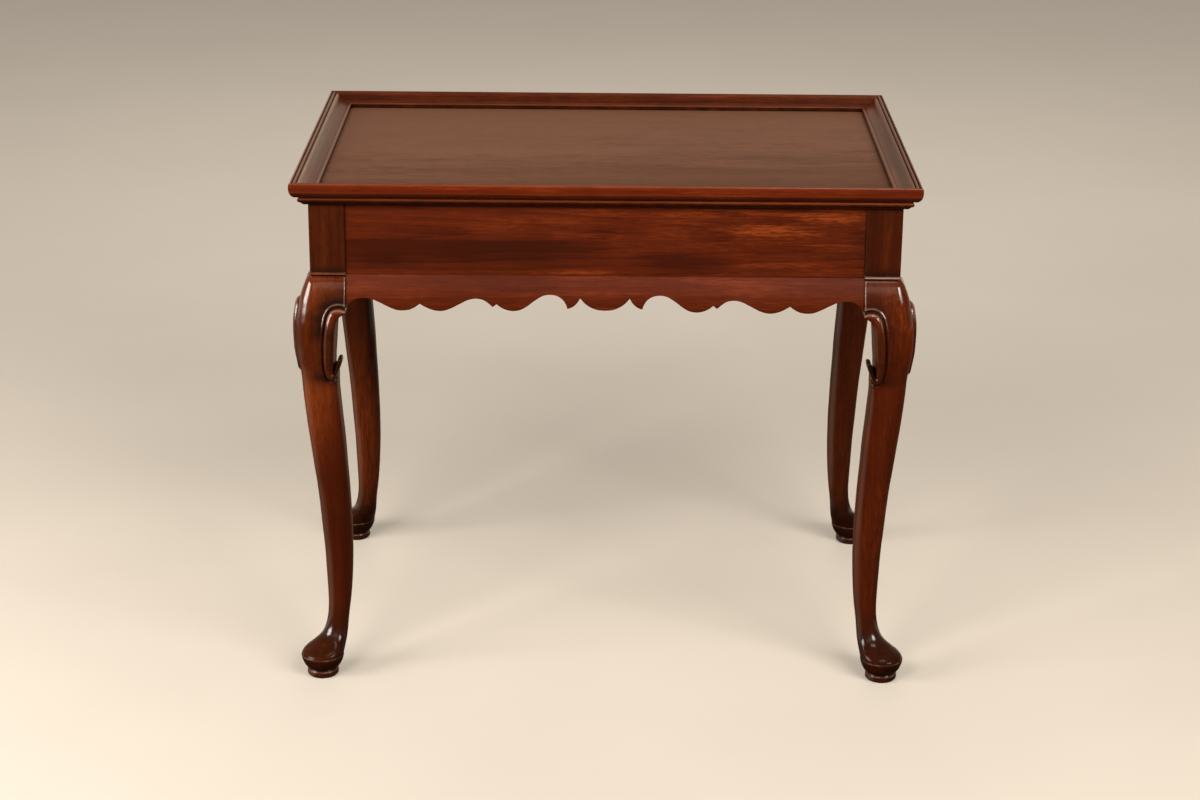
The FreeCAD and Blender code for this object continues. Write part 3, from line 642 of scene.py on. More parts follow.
def leg_mesh():
    d, gu, gv, gz = leg_field()
    verts, quads = surface_nets(d, gu, gv, gz)
    for _ in range(2):       # settle the vertices on the surface
        h = 0.35
        f = sample(d, gu, gv, gz, verts)
        g = np.stack([sample(d, gu, gv, gz, verts + np.eye(3)[k] * h) - sample(d, gu, gv, gz, verts - np.eye(3)[k] * h)
                      for k in range(3)], 1) / (2 * h)
        n2 = np.maximum((g ** 2).sum(1), 0.05)
        verts = verts - g * (np.clip(f, -0.3, 0.3) / n2)[:, None] * 0.7
    verts[:, 0] = np.minimum(verts[:, 0], 65.5)
    verts[:, 1] = np.minimum(verts[:, 1], 65.5)
    verts[:, :2] = np.maximum(verts[:, :2], -5.6)
    verts[:, 2] = np.clip(verts[:, 2], 1.5, 637.0)
    # how far into a carved recess each point lies; recesses get dark glaze and painted shade, raised edges get wear and
    # painted highlights
    lo, ho = catmull(SCROLL_OUT, 1.5), catmull(HOOK_OUT, 1.0)
    line = np.vstack([lo, ho])
    u, v, z = verts.T
    glazing_and_shade = np.zeros(len(verts))
    rubbing_and_highlight = np.zeros(len(verts))
    dull = np.zeros(len(verts))
    scroll_darkening = np.zeros(len(verts))
    band = np.vstack([lo[:-1], ho[:-1], catmull(HOOK_IN, 1.0)[:-1], catmull(SCROLL_IN, 1.5)])
    for p, q in ((u, v), (v, u)):
        m = (z > 380) & (z < 540) & (q < 24)
        pp, zz = p[m], z[m]
        dist = line_dist(line, pp, zz) ** 2
        face = np.clip((q[m] - pchip(LEG_Z, LEG_O, zz) + 1.3) / 1.2, 0, 1)      # not on the raised band itself
        deep = np.exp(-dist / (2 * 1.7 ** 2))
        # the knee is darker round the scroll and on the band's lower part
        wide = np.exp(-dist / (2 * 14.0 ** 2)) * np.clip((zz - 396.0) / 18.0, 0, 1)
        wide *= np.clip(0.5 + 0.5 * np.clip((zz - 458.0) / 24.0, 0, 1) + 0.45 * np.exp(-((zz - 413.0) / 9.0) ** 2), 0, 1)
        wide = np.maximum(wide, 0.45 * np.exp(-((pp - 60.0) / 15.0) ** 2 - ((zz - 519.0) / 11.0) ** 2))
        on_band = 0.62 * np.clip(poly_sdf(band, pp, zz) / 1.5, 0, 1) * np.clip((498.0 - zz) / 22.0, 0, 1)
        scroll_darkening[m] = np.maximum(scroll_darkening[m], np.maximum(face * wide, on_band))
        # dark glaze and painted shade in the groove round the band
        glazing_and_shade[m] = np.maximum(glazing_and_shade[m], face * deep)
        dull[m] = np.maximum(dull[m], face * deep * np.clip((488.0 - zz) / 12.0, 0, 1))
        # the top of the scroll is rubbed and painted with highlights, on the band's edge and on the lip of its groove
        away, on = np.sqrt(dist), poly_sdf(band, pp, zz) > 0
        top_ = np.clip((zz - 482.0) / 10.0, 0, 1)
        bright = np.where(on, 0.75 * np.exp(-((away - 1.9) / 0.8) ** 2), 0.55 * np.exp(-((away - 4.2) / 0.8) ** 2) * face)
        rubbing_and_highlight[m] = np.maximum(rubbing_and_highlight[m], top_ * bright)
    # painted shade in the groove under the post's bead; the post is darker all over, and darkest just above the bead,
    # from dark glaze and painted shade
    low_post = (u < 30) | (v < 30)
    glazing_and_shade = np.maximum(glazing_and_shade, np.exp(-((z - 544.8) / 1.15) ** 2) * low_post)
    dull = np.maximum(dull, np.exp(-((z - 544.9) / 0.8) ** 2) * low_post)
    glazing_and_shade = np.maximum(glazing_and_shade, 0.46 * (z > 549.0))
    glazing_and_shade = np.maximum(glazing_and_shade, 0.88 * np.exp(-((z - 548.8) / 11.0) ** 2) * (z > 548.6))
    # dark joints with the rails and the skirt, with painted shade in them
    near = np.minimum(np.abs(u - 65.5), np.abs(v - 65.5))
    glazing_and_shade = np.maximum(glazing_and_shade, 0.8 * np.exp(-(near / 0.5) ** 2) * (z > 505))
    # painted shadow on the hooks' faces, and a painted highlight along their outer edges
    tongue = np.vstack([ho[:-1], catmull(HOOK_IN, 1.0)[:-1]])
    for p, q in ((u, v), (v, u)):
        m = (z > 417.5) & (z < 445) & (p > 46) & (p < 63) & (q < 24)
        inside = poly_sdf(tongue, p[m], z[m])
        far = np.min(np.hypot(p[m][:, None] - ho[None, :, 0], z[m][:, None] - ho[None, :, 1]), axis=1)
        face = q[m] < pchip(LEG_Z, LEG_O, z[m]) + 3.0
        black = np.where(face & (inside > -0.6), np.clip((far - 1.0) / 0.8, 0, 1), 0)
        glazing_and_shade[m] = np.maximum(glazing_and_shade[m], black)
        dull[m] = np.maximum(dull[m], 0.7 * black)
        rubbing_and_highlight[m] = np.maximum(rubbing_and_highlight[m], np.where(np.abs(inside) < 1.6, 0.9 * np.exp(-(far / 0.7) ** 2), 0))
    # painted shade in the groove above the disc and under the pad's bowl; the leg darkens towards the foot, and the
    # disc is dark
    glazing_and_shade = np.maximum(glazing_and_shade, 0.9 * np.exp(-((z - 10.0) / 1.0) ** 2))
    glazing_and_shade = np.maximum(glazing_and_shade, 0.80 * np.clip((100.0 - z) / 44.0, 0, 1))
    glazing_and_shade = np.maximum(glazing_and_shade, 0.86 * np.clip((29.0 - z) / 5.0, 0, 1))
    glazing_and_shade = np.where(z < 9.4, 0.62, glazing_and_shade)
    turn = np.arctan2(v - 22.0, u - 22.0)
    broken = 0.25 + 0.75 * np.clip(np.sin(5 * turn + 1.0) + 0.7 * np.sin(13 * turn), 0, 1)      # the pad's edge and the disc's top edge are rubbed and painted with highlights in places
    rubbing_and_highlight = np.maximum(rubbing_and_highlight, 0.5 * broken * np.exp(-((z - 28.8) / 0.5) ** 2))
    rubbing_and_highlight = np.maximum(rubbing_and_highlight, 0.45 * broken * np.exp(-((z - 8.4) / 0.6) ** 2))
    # painted highlight along the post's bead, set per leg by how light falls on it
    ledge = np.exp(-((z - 547.2) / 0.9) ** 2) * ((u < 20.6) | (v < 20.6))
    # a light line down the knee's inner arris; the lacquer on the pad is dull
    rubbing_and_highlight = np.maximum(rubbing_and_highlight, 0.8 * np.exp(-((near - 1.3) / 0.55) ** 2) * (z > 508) * (z < 543.5))
    dull = np.maximum(dull, 0.85 * np.clip((54.0 - z) / 8.0, 0, 1) * (z > 12.0))
    return verts, quads, glazing_and_shade, rubbing_and_highlight, dull, scroll_darkening, ledge


leg_v, leg_q, leg_glazing_and_shade, leg_rubbing_and_highlight, leg_dull, leg_scroll_darkening, ledge_highlight_line = leg_mesh()
# each leg's tone follows how light falls on it: lit and shaded copies of one wood; the darkening round the scroll is
# scaled per leg
TONE_PER_LEG_AS_LIT = {"front_left": 0.70, "front_right": 0.77, "back_left": 0.72, "back_right": 0.72}
LEG_SCROLL_DARKENING = {"front_left": 1.2, "front_right": 0.68, "back_left": 0.8, "back_right": 0.8}
LEDGE_HIGHLIGHT_PER_LEG = {"front_left": 0.2, "front_right": 0.9, "back_left": 0.3, "back_right": 0.3}
# spots per leg lighten or darken the figure; on the back left leg they paint shade high up under the tray and light
# lower down
SPOTS_PER_LEG_TONE_AND_SHADE = {"front_left": [((-0.376, -0.236, 0.375), (0.034, 0.08, 0.075), 0.28), ((-0.36, -0.24, 0.525), (0.04, 0.08, 0.03), 0.14),
                            ((-0.345, -0.23, 0.20), (0.05, 0.1, 0.17), -0.20)],
             "front_right": [((0.366, -0.24, 0.50), (0.03, 0.08, 0.05), 0.16), ((0.345, -0.23, 0.20), (0.04, 0.08, 0.12), 0.10)],
             "back_left": [((-0.345, 0.18, 0.47), (0.10, 0.06, 0.16), -0.25), ((-0.345, 0.20, 0.20), (0.08, 0.1, 0.15), 0.30)],
             "back_right": [((0.345, 0.23, 0.45), (0.06, 0.1, 0.14), 0.05)]}
KNEE_RUB = {"front_left": 502.0, "front_right": 532.0}
# painted shade under the tray on the back legs, strongest on their inner faces and high up on the back left leg
LEG_PAINTED_SHADE = {"back_left": [((0, 0.18, 0.48), (None, 0.065, 0.32), 1.0), ((0, 0.18, 0), (None, 0.06, None), 0.30)],
             "back_right": [((0, 0.18, 0), (None, 0.06, None), 0.64)]}
for k, (corner, sx, sy) in enumerate((("front_left", 1, 1), ("front_right", -1, 1), ("back_left", 1, -1), ("back_right", -1, -1))):
    xyz = np.stack([sx * (leg_v[:, 0] - HW), sy * (leg_v[:, 1] - HD), leg_v[:, 2]], 1)
    q = leg_q if sx * sy > 0 else leg_q[:, ::-1]
    mat = wood("wood_leg_" + corner, "z", 11 + k, tone=TONE_PER_LEG_AS_LIT[corner], figure=0.35, rings=30, centre=(0.40, 0.28), glazing_and_shade=True,
               contrast=0.55, shift=0.04, gloss=0.16, fine=1.0, spots=SPOTS_PER_LEG_TONE_AND_SHADE[corner], dark_marks_and_shade=LEG_PAINTED_SHADE.get(corner, ()),
               rub_highlight_colour=(0.34, 0.20, 0.125))
    lu, lv, lz = leg_v.T
    flat = 0.75 * np.clip((KNEE_RUB.get(corner, 480.0) - lz) / 10.0, 0, 1) * np.clip((lz - 440.0) / 20.0, 0, 1) * np.clip((30.0 - np.maximum(lu, lv)) / 8.0, 0, 1)
    add_mesh("carved_leg_" + corner, xyz, q, mat, replaces=("leg_" + corner,), sharp=None,
             attrs={"glazing_and_shade": np.maximum(leg_glazing_and_shade, leg_scroll_darkening * LEG_SCROLL_DARKENING[corner]), "rubbing_and_highlight": np.maximum(leg_rubbing_and_highlight, ledge_highlight_line * LEDGE_HIGHLIGHT_PER_LEG[corner]), "dull": np.maximum(leg_dull, flat)})

# ---------------------------------------------------------------------------
# mouldings round the tray, mitred
# ---------------------------------------------------------------------------

def arc_points(cx, cz, rx, rz, a0, a1, n):
    t = np.radians(np.linspace(a0, a1, n))
    return [(cx + rx * math.cos(x), cz + rz * math.sin(x)) for x in t]


def rim_profile():
    p = []
    p += arc_points(9.0, 661.0, 9.0, 13.0, 270, 180, 20)                       # ovolo under the edge
    p += [(0.04, 662.4), (0.12, 663.8), (0.26, 665.0), (0.46, 666.0), (0.74, 666.6), (1.05, 666.9), (1.4, 667.0)]
    p += [(2.3, 667.0), (2.65, 666.85), (2.85, 666.2), (3.1, 665.2), (3.4, 664.75), (3.7, 665.1), (4.0, 665.6)]     # first quirk
    p += [(4.4, 666.0), (5.0, 666.35), (5.7, 666.55), (6.4, 666.6), (7.0, 666.5), (7.5, 666.2), (7.8, 665.7)]        # small bead
    p += [(8.0, 664.9), (8.3, 664.1), (8.6, 663.95), (8.9, 664.3), (9.2, 664.85)]                                    # second quirk
    p += [(9.6, 665.15), (10.3, 665.32), (11.0, 665.25), (11.8, 664.95), (12.6, 664.4), (13.4, 663.7), (14.2, 662.85),
          (15.0, 661.95), (16.0, 660.8), (17.0, 659.7), (18.2, 658.7), (19.6, 657.85), (21.2, 657.2), (23.0, 656.7),
          (25.0, 656.3), (26.8, 656.05)]                                       # shoulder and wide cove
    p += [(27.2, 655.75), (27.55, 655.7), (27.9, 656.0), (28.6, 656.3), (29.4, 656.42), (30.2, 656.42), (31.0, 656.3),
          (31.7, 656.0), (32.2, 655.5), (32.5, 654.8)]                         # lip over the tray floor
    p += [(32.5, 650.2), (32.5, 645.5), (20.0, 645.5), (20.0, 648.0)]
    return p


def bead_profile():
    p = [(20.0, 637.0), (20.0, 648.0), (12.4, 648.0), (11.8, 647.6)]
    p += arc_points(14.6, 644.1, 5.1, 3.9, 130, 250, 18)
    p += [(13.6, 639.9), (14.4, 638.8), (15.4, 637.8), (16.4, 637.1)]
    return p


def strip(name, profile, side, material, replaces, joint=0.06, n_len=40):
    """a moulding along one side with mitred ends; joint is the hairline left at each mitre"""
    prof = np.array(profile)
    n = len(prof)
    t, z = prof.T
    glazing_and_shade, rubbing_and_highlight, dull = np.zeros(n), np.zeros(n), np.zeros(n)
    if z.max() > 660:
        # top moulding: painted shade in the quirks, under the ovolo and at its foot; a darker cove, least on the left
        # rim; painted highlights with some wear along the edge, the small bead, the shoulder and the lip, faint on the
        # right rim
        top = z > 655
        dull = np.maximum(np.exp(-((t - 3.35) / 0.55) ** 2), np.exp(-((t - 8.5) / 0.5) ** 2)) * top
        dull = np.maximum(dull, 0.8 * np.exp(-((t - 27.5) / 0.5) ** 2) * top)
        dull = np.maximum(dull, 0.95 * (t > 32.4))
        glazing_and_shade = np.maximum(dull, 0.85 * np.exp(-((z - 648.0) / 1.6) ** 2) * (t < 20.5))
        glazing_and_shade = np.maximum(glazing_and_shade, (0.34 if side == "left" else 0.50) * np.clip((t - 12.2) / 2.0, 0, 1) * np.clip((24.0 - t) / 4.0, 0, 1) * top)
        glazing_and_shade = np.maximum(glazing_and_shade, 0.28 * (t > 24.0) * (t < 27.2) * top)
        glazing_and_shade = np.maximum(glazing_and_shade, 0.62 * np.clip((659.0 - z) / 10.0, 0, 1) * (t < 9.5))
        ends = side in ("left", "right")
        most = 0.15 if side == "right" else 1.0
        rubbing_and_highlight = most * ((1.3 if ends else 0.55) * np.exp(-((t - 1.6) / 1.0) ** 2) + (0.5 if ends else 0.1) * np.exp(-((t - 6.3) / 0.8) ** 2)
                + (0.9 if ends else 0.0) * np.exp(-((t - 11.2) / 1.6) ** 2)
                + (0.3 if ends else 0.8) * np.exp(-((t - 30.2) / 1.2) ** 2)) * top
    else:
        # small bead: painted shade on its lower half and at its foot, painted highlight with some wear along its top
        glazing_and_shade = np.maximum(0.6 * (t > 13.0), np.exp(-((z - 648.0) / 1.0) ** 2))
        glazing_and_shade = np.maximum(glazing_and_shade, 0.72 * np.clip((645.2 - z) / 2.0, 0, 1))
        dull = glazing_and_shade
        rubbing_and_highlight = 0.5 * np.exp(-((z - 646.2) / 0.9) ** 2) * (t < 11.5)
    half = HW if side in ("front", "back") else HD
    rows = []
    for s in np.linspace(-1, 1, n_len):
        x = s * (half - prof[:, 0] - joint)
        inset = prof[:, 0]
        if side == "front":
            rows.append(np.stack([x, -HD + inset, prof[:, 1]], 1))
        elif side == "back":
            rows.append(np.stack([-x, HD - inset, prof[:, 1]], 1))
        elif side == "left":
            rows.append(np.stack([-HW + inset, -x, prof[:, 1]], 1))
        else:
            rows.append(np.stack([HW - inset, x, prof[:, 1]], 1))
    v = np.vstack(rows)
    faces = []
    for r in range(n_len - 1):
        for k in range(n):
            a, b = r * n + k, r * n + (k + 1) % n
            faces.append((a, b, b + n, a + n))
    faces.append(tuple(range(n))[::-1])
    faces.append(tuple((n_len - 1) * n + k for k in range(n)))
    ob = add_mesh(name, v, faces, material, replaces=replaces, sharp=28.0,
                  attrs={"glazing_and_shade": np.tile(glazing_and_shade, n_len), "rubbing_and_highlight": np.tile(rubbing_and_highlight, n_len), "dull": np.tile(dull, n_len)})
    return ob


def fix_normals(ob):
    import bmesh
    bm = bmesh.new()
    bm.from_mesh(ob.data)
    bmesh.ops.recalc_face_normals(bm, faces=bm.faces[:])
    bm.to_mesh(ob.data)
    bm.free()


RED = tuple((r, 0.74 * g, 0.68 * b) for r, g, b in (DARK, MID, LIGHT))
for k, side in enumerate(("front", "back", "left", "right")):
    axis = "x" if side in ("front", "back") else "y"
    # each rim's tone follows how light falls on it, darkest at the back; the side rims' paler wear colour paints their
    # grey sheen
    mat = wood("wood_rim_" + side, axis, 31 + k, tone={"front": 1.12, "back": 0.74}.get(side, 0.86), figure=0.2, rings=26, centre=(0.5, 0.2), gloss=0.2,
               contrast=0.6, shift=-0.02 if side == "front" else 0.04, glazing_and_shade=True, fine=1.3, spec={"right": 0.32, "back": 0.28}.get(side, 0.5),
               pal=RED if side == "front" else None, rub_highlight_colour=(0.30, 0.20, 0.145) if axis == "y" else (0.25, 0.062, 0.0150))
    fix_normals(strip("moulded_rim_" + side, rim_profile(), side, mat, ("tray_rim_" + side,)))
    mat = wood("wood_bead_" + side, axis, 41 + k, tone=0.77, figure=0.2, rings=26, centre=(0.5, 0.2), gloss=0.2, contrast=0.7,
               shift=0.08, glazing_and_shade=True, fine=1.4, spots=[((0.26, 0, 0), (0.30, None, None), 0.16), ((-0.30, 0, 0), (0.30, None, None), -0.12)])
    fix_normals(strip("moulded_bead_" + side, bead_profile(), side, mat, ("edge_bead_" + side,)))

# ---------------------------------------------------------------------------
# scalloped skirts
# ---------------------------------------------------------------------------
FRONT_RUNS = [
    [(0.0, 505.0), (9.0, 505.9), (18.0, 509.4), (25.0, 514.4), (30.8, 520.6)],
    [(30.8, 520.6), (34.2, 515.2), (38.0, 511.2), (42.0, 508.6), (46.6, 507.0)],
    [(46.6, 507.0), (48.2, 512.2), (52.0, 518.2), (59.0, 523.0), (68.0, 524.6), (77.0, 523.2), (87.0, 517.4),
     (97.0, 509.8), (105.0, 505.2), (113.0, 503.6), (121.0, 504.6), (128.0, 507.6), (134.7, 512.6)],
    [(134.7, 512.6), (137.2, 510.4), (139.3, 508.8)],
    [(139.3, 508.8), (144.0, 513.0), (151.0, 517.6), (160.0, 519.3), (169.0, 517.8), (180.0, 512.6), (192.0, 506.2),
     (200.0, 503.4), (206.3, 502.8), (214.0, 504.2), (222.0, 507.6), (230.0, 512.3)],
    [(230.0, 512.3), (236.0, 507.8), (243.0, 504.4), (252.0, 503.2), (260.0, 504.2), (270.0, 508.6), (280.0, 513.8),
     (290.0, 517.9), (301.0, 519.3), (309.0, 518.0), (315.0, 514.4), (319.2, 509.8), (322.0, 505.6)],
]
SIDE_RUNS = [
    [(0.0, 505.0), (9.0, 505.9), (18.0, 509.4), (25.0, 514.4), (30.8, 520.6)],
    [(30.8, 520.6), (34.2, 515.2), (38.0, 511.2), (42.0, 508.6), (46.6, 507.0)],
    [(46.6, 507.0), (49.0, 512.0), (53.0, 515.8), (58.0, 516.6), (63.5, 512.6), (70.0, 506.2), (76.5, 503.6),
     (84.0, 504.6), (90.0, 507.6), (96.5, 512.3)],
    [(96.5, 512.3), (102.5, 507.8), (109.5, 504.4), (118.5, 503.2), (126.5, 504.2), (136.5, 508.6), (146.5, 513.8),
     (156.5, 517.9), (167.5, 519.3), (175.5, 518.0), (181.5, 514.4), (185.7, 509.8), (188.5, 505.6)],
]
SKIRT_Z = [546.5, 541.4, 534.0, 526.0, 518.0, 511.0, 505.0, 499.0]
SKIRT_T = [21.2, 18.4, 14.9, 11.9, 9.9, 9.3, 9.9, 11.4]
SKIRT_BACK, SKIRT_TOP = 42.0, 546.5


def skirt_piece(name, runs, side, material, replaces):
    line = [catmull(r, 1.6) for r in runs]
    half = np.vstack([line[0]] + [l[1:] for l in line[1:]])
    full = np.vstack([half[::-1] * [-1, 1], half[1:]])          # left end to right end
    keep = np.concatenate([[True], np.linalg.norm(np.diff(full, axis=0), axis=1) > 1e-6])
    full = full[keep]
    n_face = 22
    ease = 0.7
    cols = []
    for x, zb in full:
        pts = []
        for f in np.linspace(0, 1, n_face):                       # face, top to bottom
            z = SKIRT_TOP + (zb + ease - SKIRT_TOP) * f
            pts.append((pchip(SKIRT_Z, SKIRT_T, z), z))
        t0 = float(pchip(SKIRT_Z, SKIRT_T, zb))
        pts += [(t0 + 0.22 * ease, zb + 0.3 * ease), (t0 + ease, zb)]    # eased lower arris
        pts += [(t0 + 8.0, zb), (SKIRT_BACK - 8.0, zb), (SKIRT_BACK, zb)]
        pts += [(SKIRT_BACK, zb + (SKIRT_TOP - zb) * 0.5), (SKIRT_BACK, SKIRT_TOP), (30.0, SKIRT_TOP)]
        cols.append(pts)
    prof = np.array(cols, float)                                   # column, point, (inset, z)
    n_col, n = prof.shape[:2]
    x = np.repeat(full[:, 0][:, None], n, 1)
    inset, z = prof[:, :, 0], prof[:, :, 1]
    if side == "front":
        v = np.stack([x, -HD + inset, z], 2)
    elif side == "back":
        v = np.stack([-x, HD - inset, z], 2)
    elif side == "left":
        v = np.stack([-HW + inset, -x, z], 2)
    else:
        v = np.stack([HW - inset, x, z], 2)
    faces = []
    for r in range(n_col - 1):
        for k in range(n):
            a, b = r * n + k, r * n + (k + 1) % n
            faces.append((a, b, b + n, a + n))
    faces.append(tuple(range(n))[::-1])
    faces.append(tuple((n_col - 1) * n + k for k in range(n)))
    ob = add_mesh(name, v.reshape(-1, 3), faces, material, replaces=replaces, sharp=32.0)
    fix_normals(ob)
    return ob


for k, (side, runs) in enumerate((("front", FRONT_RUNS), ("back", FRONT_RUNS), ("left", SIDE_RUNS), ("right", SIDE_RUNS))):
    axis = "x" if side in ("front", "back") else "y"
    end = 0.322 if axis == "x" else 0.1885
    # a dark line at each end where the skirt meets the leg: dark joint with painted shade
    ends = [((s * end, 0, 0) if axis == "x" else (0, s * end, 0), (0.0022, None, None) if axis == "x" else (None, 0.0022, None), 0.9)
            for s in (-1, 1)]
    mat = wood("wood_skirt_" + side, axis, 51 + k, tone=0.92, figure=0.3, rings=28, centre=(0.42, 0.3), gloss=0.36, contrast=0.6,
               shift=-0.03, dark_marks_and_shade=ends, spec=0.2, fine=1.3)
    skirt_piece("scalloped_skirt_" + side, runs, side, mat, ("skirt_" + side,))

# ---------------------------------------------------------------------------
# pieces kept from the frame: eased edges and their own wood
# ---------------------------------------------------------------------------

def keep(node, material, bevel=None):
    ob = nodes[node]
    ob.data.materials.clear()
    ob.data.materials.append(material)
    if bevel:
        w = ob.modifiers.new("weld", "WELD")
        w.merge_threshold = 1e-5
        b = ob.modifiers.new("ease", "BEVEL")
        b.width = bevel * MM
        b.segments = 2
        b.limit_method = "ANGLE"
        b.angle_limit = math.radians(40)
        b.harden_normals = False


TRAY_PAINTED_SHEEN = ((0.096, 0.0340, 0.0170), (0.122, 0.0480, 0.0254), (0.190, 0.0830, 0.0470))       # paler, greyer palette for the tray floor: painted sheen
# the tray floor is lighter towards the back and the left: painted sheen
keep("top_panel", wood("wood_tray_floor", "x", 61, tone=0.765, figure=0.5, rings=14, centre=(0.3, 0.02), gloss=0.42, contrast=0.55,
                       fine=1.0, drift=0.9, spec=0.05, shift=-0.17, pal=TRAY_PAINTED_SHEEN, spots=[((0, 0.26, 0), (None, 0.46, None), 0.80), ((-0.36, 0, 0), (0.5, None, None), 0.22)]))
RAIL_SPOTS = {
    "front": [((-0.14, 0, 0.606), (0.17, None, 0.016), 0.09), ((-0.03, 0, 0.598), (0.07, None, 0.008), 0.24),
              ((-0.03, 0, 0.5505), (0.09, None, 0.005), 0.24), ((0.27, 0, 0.622), (0.07, None, 0.010), 0.40),
              ((0.205, 0, 0.606), (0.07, None, 0.010), 0.36), ((0.15, 0, 0.627), (0.11, None, 0.008), 0.18),
              ((0.22, 0, 0.600), (0.20, None, 0.055), 0.13), ((0.10, 0, 0.566), (0.075, None, 0.018), -0.30),
              ((-0.20, 0, 0.60), (0.22, None, 0.06), -0.10)],
    "back": [((0.10, 0, 0.612), (0.2, None, 0.016), 0.3), ((-0.12, 0, 0.575), (0.2, None, 0.02), -0.25)],
    "left": [((0, -0.05, 0.604), (None, 0.12, 0.018), 0.3), ((0, 0.06, 0.57), (None, 0.14, 0.018), -0.25)],
    "right": [((0, 0.04, 0.610), (None, 0.13, 0.018), 0.3), ((0, -0.06, 0.572), (None, 0.12, 0.018), -0.25)],
}
for k, side in enumerate(("front", "back", "left", "right")):
    axis = "x" if side in ("front", "back") else "y"
    end = 0.322 if axis == "x" else 0.1885
    # dark lines at the ends, by the posts, and along the seam with the skirt: dark joints with painted shade
    ends = [((s * end, 0, 0) if axis == "x" else (0, s * end, 0), (0.0024, None, None) if axis == "x" else (None, 0.0024, None), 0.95)
            for s in (-1, 1)]
    ends.append(((0, 0, 0.5465), (None, None, 0.0012), 0.5))
    if side == "front":        # stain pooled towards the ends of the frieze
        ends += [((0.328, 0, 0.60), (0.030, None, 0.045), 0.55), ((-0.27, 0, 0.562), (0.08, None, 0.018), 0.42),
                 ((-0.12, 0, 0.576), (0.12, None, 0.022), 0.38)]
    seams = [(0.5925, 0.044, (-0.18, 0, 0), (0.20, None, None), -0.25)] if side == "front" else ()
    arch = (0.02555, 0.05, 0.601, 0.0085, 0.26) if axis == "x" else None
    keep("rail_" + side, wood("wood_rail_" + side, axis, 71 + k, tone=1.0, figure=0.7, rings=16, centre=(0.03, -0.59), tilt=0.05,
                              gloss=0.3, contrast=0.6, shift=-0.07, spots=RAIL_SPOTS[side], dark_marks_and_shade=ends, seams=seams, arch=arch, fine=1.5, drift=0.8, spec=0.35), bevel=0.5)
for k, corner in enumerate(("front_left", "front_right", "back_left", "back_right")):
    keep("corner_block_" + corner, plain_wood("wood_block_" + corner, "z", 81 + k), bevel=0.4)
    keep("foot_felt_" + corner, felt_material("felt_" + corner))
keep("mitre_keys", plain_wood("wood_keys", "x", 91))
keep("skirt_dowels", plain_wood("wood_dowels", "z", 92))
keep("skirt_end_dowels", plain_wood("wood_end_dowels", "x", 93))
keep("top_buttons", plain_wood("wood_buttons", "y", 94), bevel=0.4)
keep("button_screws", steel("steel_button_screws"))
keep("corner_block_screws", steel("steel_block_screws"))

# ---------------------------------------------------------------------------
# floor and light
# ---------------------------------------------------------------------------

def stage_material(name, colour, var=0.03):
    mat, nt, bsdf = new_material(name)
    tc = nt.nodes.new("ShaderNodeTexCoord")
    n = noise(nt, tc.outputs["Object"], 2.2, 3.0, 0.5)
    col = ramp(nt, [(0.3, tuple(c * (1 - var) for c in colour)), (0.7, tuple(c * (1 + var) for c in colour))])
    nt.links.new(n, col.inputs[0])
    nt.links.new(col.outputs[0], bsdf.inputs["Base Color"])
    bsdf.inputs["Roughness"].default_value = 0.6
    bsdf.inputs["Specular IOR Level"].default_value = 0.25
    # the sheet glows a little, more towards the back, so that it stays even
    sep = nt.nodes.new("ShaderNodeSeparateXYZ")
    nt.links.new(tc.outputs["Object"], sep.inputs[0])
    far = ramp(nt, [(0.30, tuple(c * 0.30 for c in colour)), (0.62, tuple(c * 0.62 for c in colour)), (0.85, tuple(c * 0.85 for c in colour))])
    nt.links.new(math_node(nt, "ADD", math_node(nt, "MULTIPLY", sep.outputs[1], 0.1667), 0.5), far.inputs[0])
    nt.links.new(far.outputs[0], bsdf.inputs["Emission Color"])
    bsdf.inputs["Emission Strength"].default_value = 0.55
    return mat


def make_stage():
    # plain flat floor, wide enough for a look from any side
    ticks = [-40.0, -20.0, -9.0, -4.0, -2.0, 0.0, 2.0, 4.0, 9.0, 20.0, 40.0]
    v = [(x, y, -0.0002) for y in ticks for x in ticks]
    n = len(ticks)
    f = [(r * n + c, r * n + c + 1, (r + 1) * n + c + 1, (r + 1) * n + c) for r in range(n - 1) for c in range(n - 1)]
    me = bpy.data.meshes.new("floor")
    me.from_pydata(v, [], f)
    me.update()
    me.polygons.foreach_set("use_smooth", np.ones(len(me.polygons), bool))
    me.materials.append(stage_material("pale_floor", (0.46, 0.41, 0.35)))
    ob = bpy.data.objects.new("floor", me)
    bpy.context.scene.collection.objects.link(ob)
    ob.visible_glossy = False       # the lacquer reflects the studio below, not the pale sheet
    ob.visible_diffuse = False


def area(name, at, to, size, power, colour=(1, 1, 1)):
    li = bpy.data.lights.new(name, "AREA")
    li.shape = "RECTANGLE"
    li.size, li.size_y = size
    li.energy = power
    li.color = colour
    ob = bpy.data.objects.new(name, li)
    bpy.context.scene.collection.objects.link(ob)
    ob.location = at
    ob.rotation_mode = "QUATERNION"
    ob.rotation_quaternion = (Vector(to) - Vector(at)).to_track_quat("-Z", "Y")
    return ob


